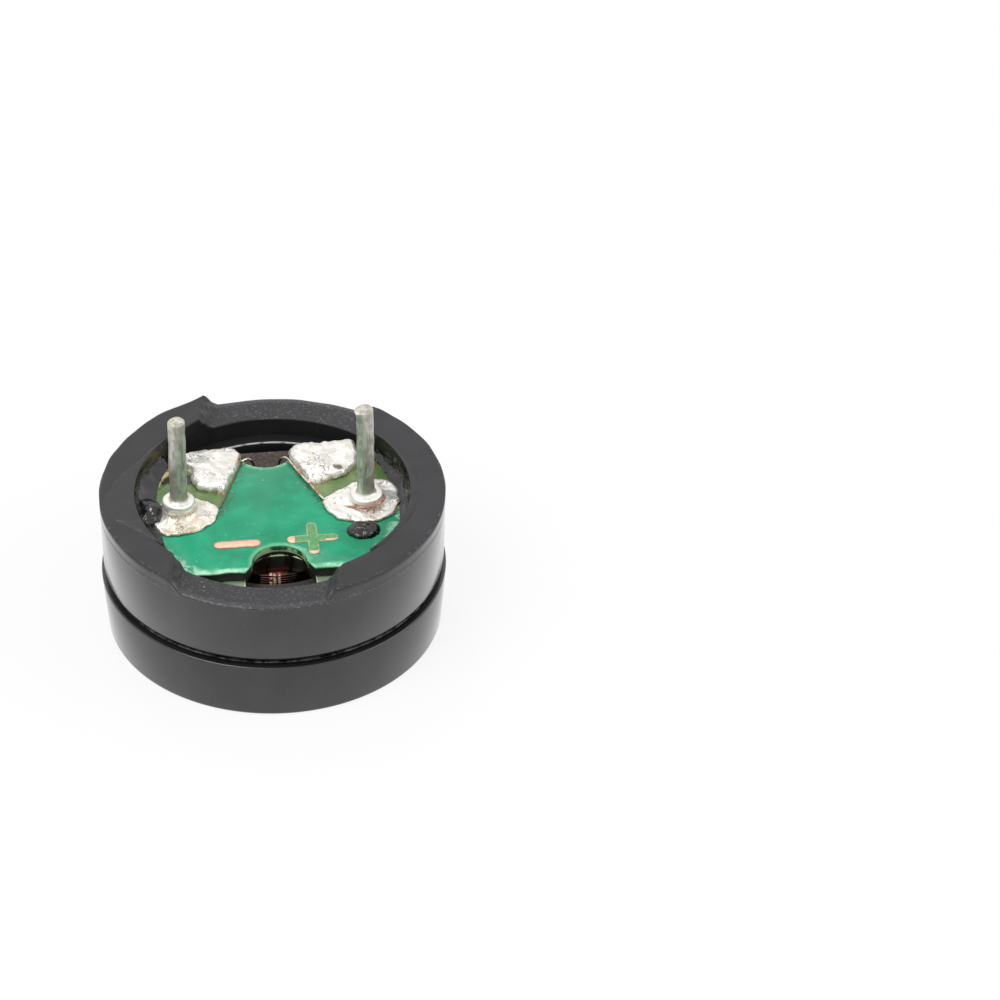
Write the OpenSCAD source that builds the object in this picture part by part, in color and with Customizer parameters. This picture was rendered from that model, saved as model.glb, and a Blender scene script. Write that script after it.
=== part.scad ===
// Low-profile magnetic buzzer, lying on its sound face with its two pins up.
// A split round case holds a coil, a ring magnet, a steel diaphragm and a small circuit board.
// Origin: centre of the sound face. X runs along the pins, with the plus pin on +X. Millimetres.

/* [Case] */
// Outer diameter of the case
case_d = 12; // [11.4:0.1:16]
// Height from the sound face to the raised rim
case_h = 5.3; // [4.8:0.1:8]
// Width of the rear rim
rim_w = 1.2; // [1:0.05:1.5]
// Edge break along the rim
rim_edge = 0.06; // [0.02:0.01:0.15]
// Narrowing of the rear housing from its rim to its lower edge
housing_draft = 0.08; // [0.01:0.01:0.2]

/* [Rim notches] */
// Width of the two opposite notches at the rim
notch_w = 5.8; // [4:0.1:7]
// Depth of the notches below the rim
notch_depth = 0.5; // [0.2:0.05:0.7]
// Sideways run of each sloping notch flank
notch_flank = 0.45; // [0.05:0.05:1]
// Turn of the notches about the case axis, from square to the pins
notch_turn = -12; // [-40:1:40]

/* [Front cap] */
// Height of the cap, up to the seam
cap_h = 2.2; // [1.9:0.05:2.8]
// Thickness of the sound face
face_t = 0.7; // [0.4:0.05:0.9]
// Wall of the cap around the lap joint
skirt_t = 0.8; // [0.6:0.05:0.95]
// Narrowing of the cap from the seam to the sound face
cap_draft = 0.17; // [0.01:0.01:0.3]
// Edge round of the sound face
cap_edge = 0.14; // [0.04:0.01:0.3]
// Diameter of the sound hole
hole_d = 4.6; // [4.2:0.1:6]
// Edge break of the sound hole
hole_edge = 0.1; // [0.02:0.01:0.25]

/* [Lap joint] */
// Height of the open groove along the seam
seam_gap = 0.18; // [0.05:0.01:0.4]
// Depth of the groove from the side of the case
seam_depth = 0.4; // [0.3:0.02:0.54]
// Chamfer of the housing above the groove
seam_chamfer = 0.16; // [0.02:0.02:0.2]
// Radial play of the housing's spigot in the cap
lap_clear = 0.05; // [0.01:0.01:0.1]
// Wall of the spigot around the diaphragm
lip_t = 0.28; // [0.15:0.01:0.4]
// Height of that wall beyond the diaphragm's seat
lip_h = 0.23; // [0.1:0.01:0.35]

/* [Diaphragm] */
// Distance of the diaphragm's seat beyond the seam
seat_drop = 0.77; // [0.6:0.01:0.9]
// Thickness of the diaphragm
diaphragm_t = 0.08; // [0.03:0.01:0.15]
// Radial play of the diaphragm in its seat
diaphragm_clear = 0.02; // [0.01:0.01:0.1]
// Diameter of the armature disc
disc_d = 4; // [3:0.1:4.1]
// Thickness of the armature disc
disc_t = 0.5; // [0.3:0.05:0.7]
// Edge round of the armature disc
disc_edge = 0.1; // [0.02:0.01:0.14]

/* [Magnet and coil] */
// Thickness of the yoke plate
yoke_t = 0.5; // [0.3:0.05:0.8]
// Width of the housing's shoulder under the yoke
shoulder_w = 0.15; // [0.1:0.01:0.3]
// Radial play of the yoke in its bore
yoke_clear = 0.02; // [0.01:0.01:0.1]
// Gap between the yoke and the board, where the coil's leads run
yoke_gap = 0.1; // [0.09:0.01:0.25]
// Depth of the yoke's rear flat below its round edge
yoke_flat_inset = 0.38; // [0.1:0.02:0.8]
// Width of the yoke's slot for the coil's leads
slot_w = 2.4; // [1.6:0.1:2.8]
// Steel left between the core and that slot
slot_web = 1; // [0.6:0.05:1.2]
// Distance by which the slot reaches past the board's front notch
slot_lip = 0.03; // [0:0.01:0.2]
// Diameter of the pole core
core_d = 2; // [1.4:0.1:2.4]
// Radial play of the core in the yoke and the coil
core_clear = 0.01; // [0.01:0.01:0.1]
// Air gap between the core and the diaphragm
air_gap = 0.27; // [0.1:0.01:0.5]
// Radial play of the magnet in its bore
magnet_clear = 0.05; // [0.01:0.01:0.1]
// Gap between the magnet and the diaphragm
magnet_gap = 0.47; // [0.2:0.01:0.8]
// Gap between the coil and the magnet
coil_gap = 0.5; // [0.2:0.05:0.8]
// Share of the room between the core and the magnet's bore that the coil takes
coil_share = 0.575; // [0.4:0.025:0.7]
// Distance of the coil behind the core's tip
coil_setback = 0.25; // [0.1:0.05:0.5]
// Diameter of the coil's enamelled wire
wire_d = 0.08; // [0.04:0.01:0.08]
// Height of one turn that shows on the coil's side
turn_h = 0.11; // [0.08:0.01:0.2]

/* [Board] */
// Thickness of the circuit board
board_t = 0.35; // [0.2:0.05:0.6]
// Depth of the board's face below the raised rim
board_depth = 0.85; // [0.75:0.05:1.2]
// Radial play of the board in the rim
board_clear = 0.1; // [0.02:0.01:0.2]
// Width of the housing's shelf under the board, with its play
shelf_w = 0.5; // [0.3:0.05:0.7]
// Depth of the board's two flats below its round edge
flat_inset = 1.25; // [0.8:0.05:1.5]
// Radius of the front notch's inner end
front_notch_r = 0.95; // [0.6:0.05:1.1]
// Width of the front notch at its flared mouth
front_mouth_w = 2.4; // [2.2:0.1:3]
// Length of the flared mouth
front_flare = 0.47; // [0.1:0.01:0.8]
// Radius of the half-round rear notch
rear_notch_r = 1; // [0.7:0.05:1.1]
// Thickness of the copper lands
copper_t = 0.04; // [0.02:0.01:0.1]
// Inset of the lands from the board's edge
land_inset = 0.06; // [0.02:0.01:0.2]
// Half width between the lands at the rear
land_rear_x = 0.87; // [0.6:0.05:1.1]
// Distance of the lands' inner edge from the pins
land_reach = 1.38; // [1.1:0.02:1.8]
// Length of the straight stretch at the lands' rear end
land_straight = 0.75; // [0.4:0.05:1.2]

/* [Pins] */
// Diameter of the pins
pin_d = 0.6; // [0.4:0.05:0.8]
// Distance of the pins from the side of the case
pin_inset = 2.75; // [2.7:0.05:3.2]
// Length of the pins beyond the raised rim
pin_l = 3.24; // [1:0.05:8]
// Diameter of the pins' collars
collar_d = 1.15; // [1:0.05:1.4]
// Thickness of the collars
collar_t = 0.35; // [0.15:0.05:0.4]
// Width of the cone under the collars
upset_w = 0.12; // [0.05:0.01:0.15]
// Height of the minus pin's collar above the board
collar_rise_minus = 0.75; // [0.55:0.05:1.2]
// Height of the plus pin's collar above the board
collar_rise_plus = 0.55; // [0.45:0.05:1.2]
// Edge round of the minus pin's tip
tip_round_minus = 0.14; // [0.02:0.02:0.18]
// Edge break of the plus pin's cut tip
tip_round_plus = 0.04; // [0.02:0.02:0.18]
// Radial play of the pins in the board
pin_clear = 0.02; // [0.01:0.01:0.1]

/* [Solder and resin] */
// Radius of the solder mounds around the pins
mound_r = 0.95; // [0.8:0.05:1]
// Height of the solder lumps on the coil's leads
lump_h = 0.32; // [0.1:0.02:0.6]
// Corner radius of the solder lumps
lump_r = 0.18; // [0.1:0.02:0.24]
// Radius of the lumps' crown at each corner
lump_crown_r = 0.06; // [0.02:0.02:0.1]
// Gap between the lumps and the mounds
lump_gap = 0.15; // [0.1:0.05:0.5]
// Distance of the minus lump's outer side from the pin, across the board
lump_inset_minus = 0.7; // [0.5:0.05:1]
// Distance of the plus lump's outer side from the pin, across the board
lump_inset_plus = 0.3; // [0.3:0.05:1]
// Distance of the lumps' front corner from the land's inner edge
lump_setback = 0.46; // [0.3:0.02:0.6]
// Slant of the minus lump's front edge, in degrees
lump_slant_minus = 30; // [0:1:45]
// Slant of the plus lump's front edge, in degrees
lump_slant_plus = 38; // [0:1:45]
// Width of the left sealant fillet on the board
sealant_left_w = 0.55; // [0.2:0.05:0.55]
// Height of the left sealant fillet on the wall
sealant_left_h = 0.6; // [0.2:0.05:0.7]
// Width of the right sealant fillet on the board
sealant_right_w = 0.32; // [0.2:0.02:0.54]
// Height of the right sealant fillet on the wall
sealant_right_h = 0.42; // [0.2:0.02:0.7]
// Radius of the resin dot beside the plus pin
dot_r = 0.5; // [0.3:0.05:0.6]
// Sideways distance of the resin dot from the pin
dot_shift = 0.12; // [0:0.02:0.4]
// Height of the resin dot
dot_h = 0.22; // [0.1:0.02:0.4]

/* [Hidden] */

$fn = 96;
cut_over = 0.2;      // how far a cut runs past the face it opens
edge_steps = 4;      // straight steps in a rounded edge
fillet_steps = 8;    // straight steps in a fillet or a dome
lump_sides = 24;     // sides of a solder lump's corners
lead_sides = 8;      // sides of a coil lead
lead_clear = 0.008;  // play between a lead and the land under it
ridge_angle = 60;    // half the arc that shows of one turn of the coil

// Radii, from the outside in
case_r = case_d / 2;
recess_r = case_r - rim_w;
board_r = recess_r - board_clear;
yoke_bore_r = recess_r - shelf_w;
yoke_r = yoke_bore_r - yoke_clear;
magnet_bore_r = yoke_bore_r - shoulder_w;
magnet_r = magnet_bore_r - magnet_clear;
core_r = core_d / 2;
coil_hole_r = core_r + core_clear;
coil_r = coil_hole_r + coil_share * (magnet_r - coil_hole_r - coil_gap);
magnet_hole_r = coil_r + coil_gap;
lap_r = case_r - skirt_t;
spigot_r = lap_r - lap_clear;
seat_r = spigot_r - lip_t;
diaphragm_r = seat_r - diaphragm_clear;
groove_r = case_r - seam_depth;
hole_r = hole_d / 2;
pin_r = pin_d / 2;
pin_x = case_r - pin_inset;

// Heights, from the rim down to the yoke
board_top = case_h - board_depth;
shelf_z = board_top - board_t;
yoke_top = shelf_z - yoke_gap;
yoke_z = yoke_top - yoke_t;
notch_z = case_h - notch_depth;
land_top = board_top + copper_t;
pin_top = case_h + pin_l;

// Heights, from the seam down to the armature disc
seat_z = cap_h - seat_drop;
diaphragm_z = seat_z - diaphragm_t;
disc_z = diaphragm_z - disc_t;
spigot_z = seat_z - lip_h;
core_z = seat_z + air_gap;
magnet_z = seat_z + magnet_gap;
coil_z = core_z + coil_setback;

// The board's outline and what lines up with it
flat_y = board_r - flat_inset;
slot_apex_y = core_r + slot_web;
slot_y = slot_apex_y + slot_w / 2;
front_notch_y = slot_apex_y + slot_lip + front_notch_r;
flare_y = flat_y - front_flare;
land_front_x = pin_x - land_reach;
land_r = mound_r + land_inset / 2;
land_bend_y = flat_y - land_straight;
dot_pos = [pin_x - dot_shift, -(land_r + dot_r + land_inset)];

// Sealant arcs, as angles from the axis of the notches
sealant_left_from = 64;
sealant_left_span = 76;
sealant_right_from = -128;
sealant_right_span = 88;

// Point at t, from 0 to 1, along the slanted inner edge of a land
function land_edge(t) = [land_rear_x + t * (land_front_x - land_rear_x), (1 - t) * land_bend_y];

// Corners of a solder lump, from the rear notch round the land
lump_rear_y = flat_y - land_inset - lump_r;
lump_front_y = mound_r + lump_gap + lump_r;
lump_in_x = land_rear_x + land_inset + lump_r;
lump_front_x = land_edge(1 - lump_front_y / land_bend_y)[0] + lump_setback;
function lump_corners(inset, slant) =
    let (out_x = pin_x - inset, out_y = lump_front_y + (out_x - lump_front_x) * tan(slant))
    [[lump_in_x, lump_rear_y], [out_x, lump_rear_y], [out_x, out_y],
        [lump_front_x, lump_front_y], [lump_in_x, land_bend_y]];

// Route of a coil lead: up through the slot, under the board, out of the rear notch
lead_x = 0.4;
lead_under_z = yoke_top + yoke_gap / 2;
lead_over_z = land_top + lead_clear + wire_d / 2;
function lead_at(x, from_slot, z) = [x, -slot_apex_y - from_slot, z];
function lead_behind(x, from_flat, z) = [x, flat_y - from_flat, z];
function lead_beside(t, out) = [land_edge(t)[0] - out, land_edge(t)[1], lead_over_z];
lead_start = [lead_at(lead_x, 0.35, yoke_z), lead_at(lead_x, 0.35, yoke_z + 0.3),
    lead_at(lead_x, 0.3, lead_under_z - 0.1), lead_at(lead_x, 0.2, lead_under_z), [lead_x, 0, lead_under_z],
    lead_behind(lead_x, 0.95, lead_under_z), lead_behind(lead_x, 0.65, lead_under_z + 0.05),
    lead_behind(0.5, 0.5, board_top - 0.1)];
lead_end_minus = [lead_behind(0.6, 0.5, board_top + 0.02), lead_behind(0.74, 0.6, lead_over_z),
    lead_behind(0.86, 0.67, lead_over_z)];
lead_end_plus = [lead_behind(0.6, 0.53, board_top + 0.02), lead_behind(0.72, 0.69, lead_over_z),
    lead_beside(0.1, 0.11), lead_beside(0.35, 0.08), lead_beside(0.65, 0.02), lead_beside(0.93, -0.05),
    [pin_x - mound_r - land_inset, -0.05, lead_over_z]];

// Points of an arc about c with radii rx and ry, from angle a0 to a1
function arc(c, rx, ry, a0, a1, steps) =
    [for (i = [0:steps]) let (a = a0 + (a1 - a0) * i / steps) [c[0] + rx * cos(a), c[1] + ry * sin(a)]];

// A round tube along a list of points
function unit(v) = v / norm(v);
function heading(path, i) = unit(path[min(i + 1, len(path) - 1)] - path[max(i - 1, 0)]);
function ring(p, along, r, sides) =
    let (across = unit(cross(along, [1, 0, 0])), up = cross(along, across))
    [for (k = [0:sides - 1]) p + r * (cos(360 * k / sides) * across + sin(360 * k / sides) * up)];

module tube(path, r, sides) {
    rings = len(path);
    points = [for (i = [0:rings - 1]) each ring(path[i], heading(path, i), r, sides)];
    sides_faces = [for (i = [0:rings - 2], k = [0:sides - 1])
        let (a = i * sides, b = a + sides, n = (k + 1) % sides) [a + k, b + k, b + n, a + n]];
    start_face = [for (k = [0:sides - 1]) k];
    end_face = [for (k = [sides - 1:-1:0]) (rings - 1) * sides + k];
    polyhedron(points, concat(sides_faces, [start_face, end_face]), convexity = 4);
}

// Mirrors what is drawn for the plus side onto the side given, -1 or 1
module on_side(side) {
    if (side < 0) mirror([1, 0, 0]) children();
    else children();
}

// Cup with the sound hole, its skirt open towards the housing
module front_cap() {
    foot_r = case_r - cap_draft;
    color("#3b3a3d")
        rotate_extrude()
            polygon(concat(
                [[hole_r, face_t], [hole_r, hole_edge], [hole_r + hole_edge, 0]],
                arc([foot_r - cap_edge, cap_edge], cap_edge, cap_edge, -90, 0, edge_steps),
                [[case_r, cap_h], [lap_r, cap_h], [lap_r, face_t]]));
}

// Ring with the notched rim, the board's shelf, the magnet's bore and the spigot
module rear_housing() {
    low_r = case_r - housing_draft;
    groove_top = cap_h + seam_gap;
    color("#3b3a3d")
        difference() {
            rotate_extrude()
                polygon([[spigot_r, spigot_z], [spigot_r, cap_h], [groove_r, cap_h], [groove_r, groove_top],
                    [low_r - seam_chamfer, groove_top], [low_r, groove_top + seam_chamfer],
                    [case_r, case_h - rim_edge], [case_r - rim_edge, case_h],
                    [recess_r + rim_edge, case_h], [recess_r, case_h - rim_edge],
                    [recess_r, shelf_z], [yoke_bore_r, shelf_z], [yoke_bore_r, yoke_z],
                    [magnet_bore_r, yoke_z], [magnet_bore_r, seat_z], [seat_r, seat_z], [seat_r, spigot_z]]);
            rim_notches();
        }
}

// One straight trapezoid cut that opens both notches
module rim_notches() {
    top_x = notch_w / 2;
    over_x = top_x + notch_flank * cut_over / notch_depth;
    floor_x = top_x - notch_flank;
    rotate([90, 0, notch_turn])
        linear_extrude(case_d + 2 * cut_over, center = true)
            polygon([[-floor_x, notch_z], [floor_x, notch_z],
                [over_x, case_h + cut_over], [-over_x, case_h + cut_over]]);
}

// Thin steel disc held against the housing's seat
module diaphragm() {
    color("#d5d4d2")
        translate([0, 0, diaphragm_z]) cylinder(diaphragm_t, r = diaphragm_r);
}

// Thick steel disc on the diaphragm, seen in the sound hole
module armature_disc() {
    rim = disc_d / 2 - disc_edge;
    color("#bab2ac")
        rotate_extrude()
            polygon(concat(
                [[0, disc_z]],
                arc([rim, disc_z + disc_edge], disc_edge, disc_edge, -90, 0, edge_steps),
                [[disc_d / 2, diaphragm_z], [0, diaphragm_z]]));
}

// Steel plate that closes the magnet, with a slot for the leads and a rear flat
module yoke_plate() {
    color("#c4c3bd")
        translate([0, 0, yoke_z])
            linear_extrude(yoke_t)
                difference() {
                    intersection() {
                        circle(yoke_r);
                        translate([-yoke_r, -yoke_r]) square([2 * yoke_r, 2 * yoke_r - yoke_flat_inset]);
                    }
                    circle(coil_hole_r);
                    translate([0, -slot_y]) circle(slot_w / 2);
                    translate([-slot_w / 2, -yoke_r - cut_over]) square([slot_w, yoke_r + cut_over - slot_y]);
                }
}

// Round steel core, riveted flush into the yoke
module pole_core() {
    color("#a9a8a5")
        translate([0, 0, core_z]) cylinder(yoke_top - core_z, r = core_r);
}

// Ring magnet under the yoke
module ring_magnet() {
    color("#2f2d2c")
        translate([0, 0, magnet_z])
            difference() {
                cylinder(yoke_z - magnet_z, r = magnet_r);
                translate([0, 0, -cut_over]) cylinder(yoke_z - magnet_z + 2 * cut_over, r = magnet_hole_r);
            }
}

// Coil, with its outer turns as rounded ridges
module coil_winding() {
    turns = max(1, floor((yoke_z - coil_z) / turn_h));
    pitch = (yoke_z - coil_z) / turns;
    color("#7a2f1c")
        rotate_extrude()
            polygon(concat(
                [[coil_hole_r, yoke_z], [coil_hole_r, coil_z]],
                [for (i = [0:turns - 1])
                    each arc([coil_r - pitch / 2, coil_z + pitch * (i + 0.5)], pitch / 2, pitch / 2,
                        i == 0 ? -90 : -ridge_angle, i == turns - 1 ? 90 : ridge_angle, edge_steps)]));
}

// Enamelled lead from the coil to the lump on its own side
module coil_lead_minus() {
    color("#9c4a26")
        on_side(-1) tube(concat(lead_start, lead_end_minus), wire_d / 2, lead_sides);
}

// Enamelled lead that runs on along the land to the plus pin
module coil_lead_plus() {
    color("#9c4a26")
        on_side(1) tube(concat(lead_start, lead_end_plus), wire_d / 2, lead_sides);
}

// Outline of the board, drawn in by inset
module board_outline(inset = 0) {
    half_flats = flat_y - inset;
    difference() {
        intersection() {
            circle(board_r - inset);
            square([2 * board_r, 2 * half_flats], center = true);
        }
        translate([0, -front_notch_y]) circle(front_notch_r + inset);
        translate([-front_notch_r - inset, -flat_y])
            square([2 * (front_notch_r + inset), max(flat_y - front_notch_y, front_flare)]);
        polygon([[front_notch_r + inset, -flare_y], [-front_notch_r - inset, -flare_y],
            [-front_mouth_w / 2 - inset, -flat_y], [-front_mouth_w / 2 - inset, -flat_y - cut_over],
            [front_mouth_w / 2 + inset, -flat_y - cut_over], [front_mouth_w / 2 + inset, -flat_y]]);
        translate([0, flat_y]) circle(rear_notch_r + inset);
    }
}

// Holes of the two pins
module pin_holes() {
    for (side = [-1, 1]) translate([side * pin_x, 0]) circle(pin_r + pin_clear);
}

module circuit_board() {
    color("#2f9a72")
        translate([0, 0, shelf_z])
            linear_extrude(board_t)
                difference() {
                    board_outline();
                    pin_holes();
                }
}

// Copper land of one pin and of the coil lead on its side
module copper_pad(side) {
    color("#7f8f52")
        translate([0, 0, board_top])
            on_side(side)
                linear_extrude(copper_t)
                    difference() {
                        intersection() {
                            board_outline(land_inset);
                            union() {
                                translate([pin_x, 0]) circle(land_r);
                                polygon([[land_rear_x, flat_y], land_edge(0), land_edge(1),
                                    [board_r, 0], [board_r, flat_y]]);
                            }
                        }
                        pin_holes();
                    }
}

module copper_pad_minus() copper_pad(-1);

module copper_pad_plus() copper_pad(1);

// Straight pin from the board's underside to its tip, upset into a cone and a collar on the board
module headed_pin(side, collar_rise, tip_round) {
    collar_top = board_top + collar_rise;
    collar_z = collar_top - collar_t;
    color("#a7a79b")
        translate([side * pin_x, 0])
            rotate_extrude()
                polygon(concat(
                    [[0, shelf_z], [pin_r, shelf_z], [pin_r, land_top], [pin_r + upset_w, collar_z],
                        [collar_d / 2, collar_z], [collar_d / 2, collar_top], [pin_r, collar_top]],
                    arc([pin_r - tip_round, pin_top - tip_round], tip_round, tip_round, 0, 90, edge_steps),
                    [[0, pin_top]]));
}

module pin_minus() headed_pin(-1, collar_rise_minus, tip_round_minus);

module pin_plus() headed_pin(1, collar_rise_plus, tip_round_plus);

// Hollow-sided solder mound from the land up to the pin's collar
module pin_solder(side, collar_rise) {
    mound_top = board_top + collar_rise - collar_t;
    mound_h = mound_top - land_top;
    hole_wall = pin_r + pin_clear;
    collar_r = collar_d / 2;
    color("#dcdad3")
        translate([side * pin_x, 0])
            rotate_extrude()
                polygon(concat(
                    [[hole_wall + upset_w, mound_top], [hole_wall, land_top]],
                    arc([mound_r, mound_top], mound_r - collar_r, mound_h, 270, 180, fillet_steps)));
}

module pin_solder_minus() pin_solder(-1, collar_rise_minus);

module pin_solder_plus() pin_solder(1, collar_rise_plus);

// Lump of solder over a coil lead, lower and narrower at its crown
module wire_solder(side, inset, slant) {
    color("#e4e2dc")
        on_side(side)
            translate([0, 0, land_top])
                hull()
                    for (c = lump_corners(inset, slant))
                        translate([c[0], c[1], 0])
                            cylinder(lump_h, r1 = lump_r, r2 = lump_crown_r, $fn = lump_sides);
}

module wire_solder_minus() wire_solder(-1, lump_inset_minus, lump_slant_minus);

module wire_solder_plus() wire_solder(1, lump_inset_plus, lump_slant_plus);

// Fillet of sealant between the wall and the board, along an arc of the rim
module sealant(from, span, w, h) {
    foot_r = recess_r - w;
    color("#17171a")
        rotate([0, 0, 90 + notch_turn + from])
            rotate_extrude(angle = span)
                polygon(concat(
                    [[board_r, land_top], [board_r, shelf_z], [recess_r, shelf_z]],
                    arc([foot_r, land_top + h], w, h, 0, -90, fillet_steps)));
}

module sealant_left() sealant(sealant_left_from, sealant_left_span, sealant_left_w, sealant_left_h);

module sealant_right() sealant(sealant_right_from, sealant_right_span, sealant_right_w, sealant_right_h);

// Domed dot of black resin in front of the plus pin
module epoxy_dot() {
    color("#1b1b1d")
        translate([dot_pos[0], dot_pos[1], board_top])
            rotate_extrude()
                polygon(concat([[0, 0]], arc([0, 0], dot_r, dot_h, 0, 90, fillet_steps)));
}

front_cap();
rear_housing();
diaphragm();
armature_disc();
yoke_plate();
pole_core();
ring_magnet();
coil_winding();
coil_lead_minus();
coil_lead_plus();
circuit_board();
copper_pad_minus();
copper_pad_plus();
pin_minus();
pin_plus();
pin_solder_minus();
pin_solder_plus();
wire_solder_minus();
wire_solder_plus();
sealant_left();
sealant_right();
epoxy_dot();
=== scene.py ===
import math
from types import SimpleNamespace

import bmesh
import bpy
from mathutils import Matrix, Vector, noise


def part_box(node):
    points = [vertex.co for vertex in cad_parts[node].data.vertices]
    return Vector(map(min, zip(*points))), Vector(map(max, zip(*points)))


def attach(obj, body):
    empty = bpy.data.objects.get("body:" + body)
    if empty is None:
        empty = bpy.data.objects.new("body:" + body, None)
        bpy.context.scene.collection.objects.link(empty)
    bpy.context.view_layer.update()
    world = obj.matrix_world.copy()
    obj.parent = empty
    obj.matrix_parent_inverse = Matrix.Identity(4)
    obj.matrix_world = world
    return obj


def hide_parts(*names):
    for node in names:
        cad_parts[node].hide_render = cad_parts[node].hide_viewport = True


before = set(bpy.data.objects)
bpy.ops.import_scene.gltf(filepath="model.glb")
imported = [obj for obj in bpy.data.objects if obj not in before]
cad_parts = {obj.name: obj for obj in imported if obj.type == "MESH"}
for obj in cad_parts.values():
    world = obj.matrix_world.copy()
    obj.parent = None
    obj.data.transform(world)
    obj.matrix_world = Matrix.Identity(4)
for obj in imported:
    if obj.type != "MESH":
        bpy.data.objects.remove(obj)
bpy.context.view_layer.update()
mm = 0.001
print("frame loaded:", len(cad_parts), "nodes")


def heights(node):                      # a node's lowest and highest level
    low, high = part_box(node)
    return low.z, high.z


def outerRadius(node):
    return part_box(node)[1].x


def inMetres(value):                    # millimetre values; a dictionary's are then read by their names
    if isinstance(value, dict):
        return SimpleNamespace(**{key: inMetres(part) for key, part in value.items()})
    if isinstance(value, (list, tuple)):
        return [inMetres(part) for part in value]
    return value * mm


# places that several pieces share, from the frame
rimWidth = 1.2 * mm
caseR, rimTop = outerRadius("rear_housing"), heights("rear_housing")[1]
recessR = caseR - rimWidth
seamZ = heights("front_cap")[1]
boardLow, boardTop = heights("circuit_board")
boardR, flatY = outerRadius("circuit_board"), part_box("circuit_board")[1].y
landTop = heights("copper_pad_plus")[1]
yokeLow, yokeTop = heights("yoke_plate")
pinX = (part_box("pin_plus")[0].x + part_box("pin_plus")[1].x) / 2

# the same places in millimetres, as the finishes read them
inMm = SimpleNamespace(caseR=caseR / mm, recessR=recessR / mm, rimTop=rimTop / mm, seam=seamZ / mm,
                       shelf=boardLow / mm, boardTop=boardTop / mm, boardR=boardR / mm, flatY=flatY / mm,
                       landTop=landTop / mm, yokeLow=yokeLow / mm, yokeTop=yokeTop / mm)


# shader maths: a socket that takes + - * and gives soft masks
class Value:
    def __init__(self, nodes, socket):
        self.nodes = nodes
        self.socket = socket

    def math(self, operation, first, second=0):
        return self.nodes.add("ShaderNodeMath", {"operation": operation}, {0: first, 1: second})

    def __add__(self, other):
        return self.math("ADD", self, other)

    def __radd__(self, other):
        return self.math("ADD", other, self)

    def __sub__(self, other):
        return self.math("SUBTRACT", self, other)

    def __rsub__(self, other):
        return self.math("SUBTRACT", other, self)

    def __mul__(self, other):
        return self.math("MULTIPLY", self, other)

    def __rmul__(self, other):
        return self.math("MULTIPLY", other, self)

    def __abs__(self):
        return self.math("ABSOLUTE", self)

    def root(self):
        return self.math("SQRT", self)

    def atLeast(self, other):
        return self.math("MAXIMUM", self, other)

    def atMost(self, other):
        return self.math("MINIMUM", self, other)

    def above(self, low, high):         # 0 at low, 1 at high, smooth between
        inputs = {"Value": self, "From Min": low, "From Max": high}
        return self.nodes.add("ShaderNodeMapRange", {"interpolation_type": "SMOOTHSTEP"}, inputs)

    def below(self, low, high):         # 1 at low, 0 at high
        return 1 - self.above(low, high)

    def near(self, middle, inner, outer):   # 1 up to inner from the middle, 0 past outer
        return abs(self - middle).below(inner, outer)


# a node tree; add makes any node from its type, its settings and its sockets' values or links
class Nodes:
    def __init__(self, tree):
        self.tree = tree

    def add(self, kind, settings, inputs, output=0):
        node = self.tree.nodes.new(kind)
        for key, setting in settings.items():
            setattr(node, key, setting)
        for key, value in inputs.items():
            self.feed(node.inputs[key], value)
        return Value(self, node.outputs[output])

    def feed(self, socket, value):
        if isinstance(value, Value):
            self.tree.links.new(value.socket, socket)
        else:
            socket.default_value = value

    def seenDirectly(self):             # 1 where the camera, a reflection or a see-through piece looks
        camera, glossy, through = [self.add("ShaderNodeLightPath", {}, {}, f"Is {ray} Ray")
                                   for ray in ("Camera", "Glossy", "Transmission")]
        return camera.atLeast(glossy).atLeast(through)


def tone(red, green, blue):             # display colour, 0 to 255, as the shader's linear one
    def linear(level):
        level = level / 255
        return level / 12.92 if level <= 0.04045 else ((level + 0.055) / 1.055) ** 2.4
    return (linear(red), linear(green), linear(blue), 1)


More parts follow.
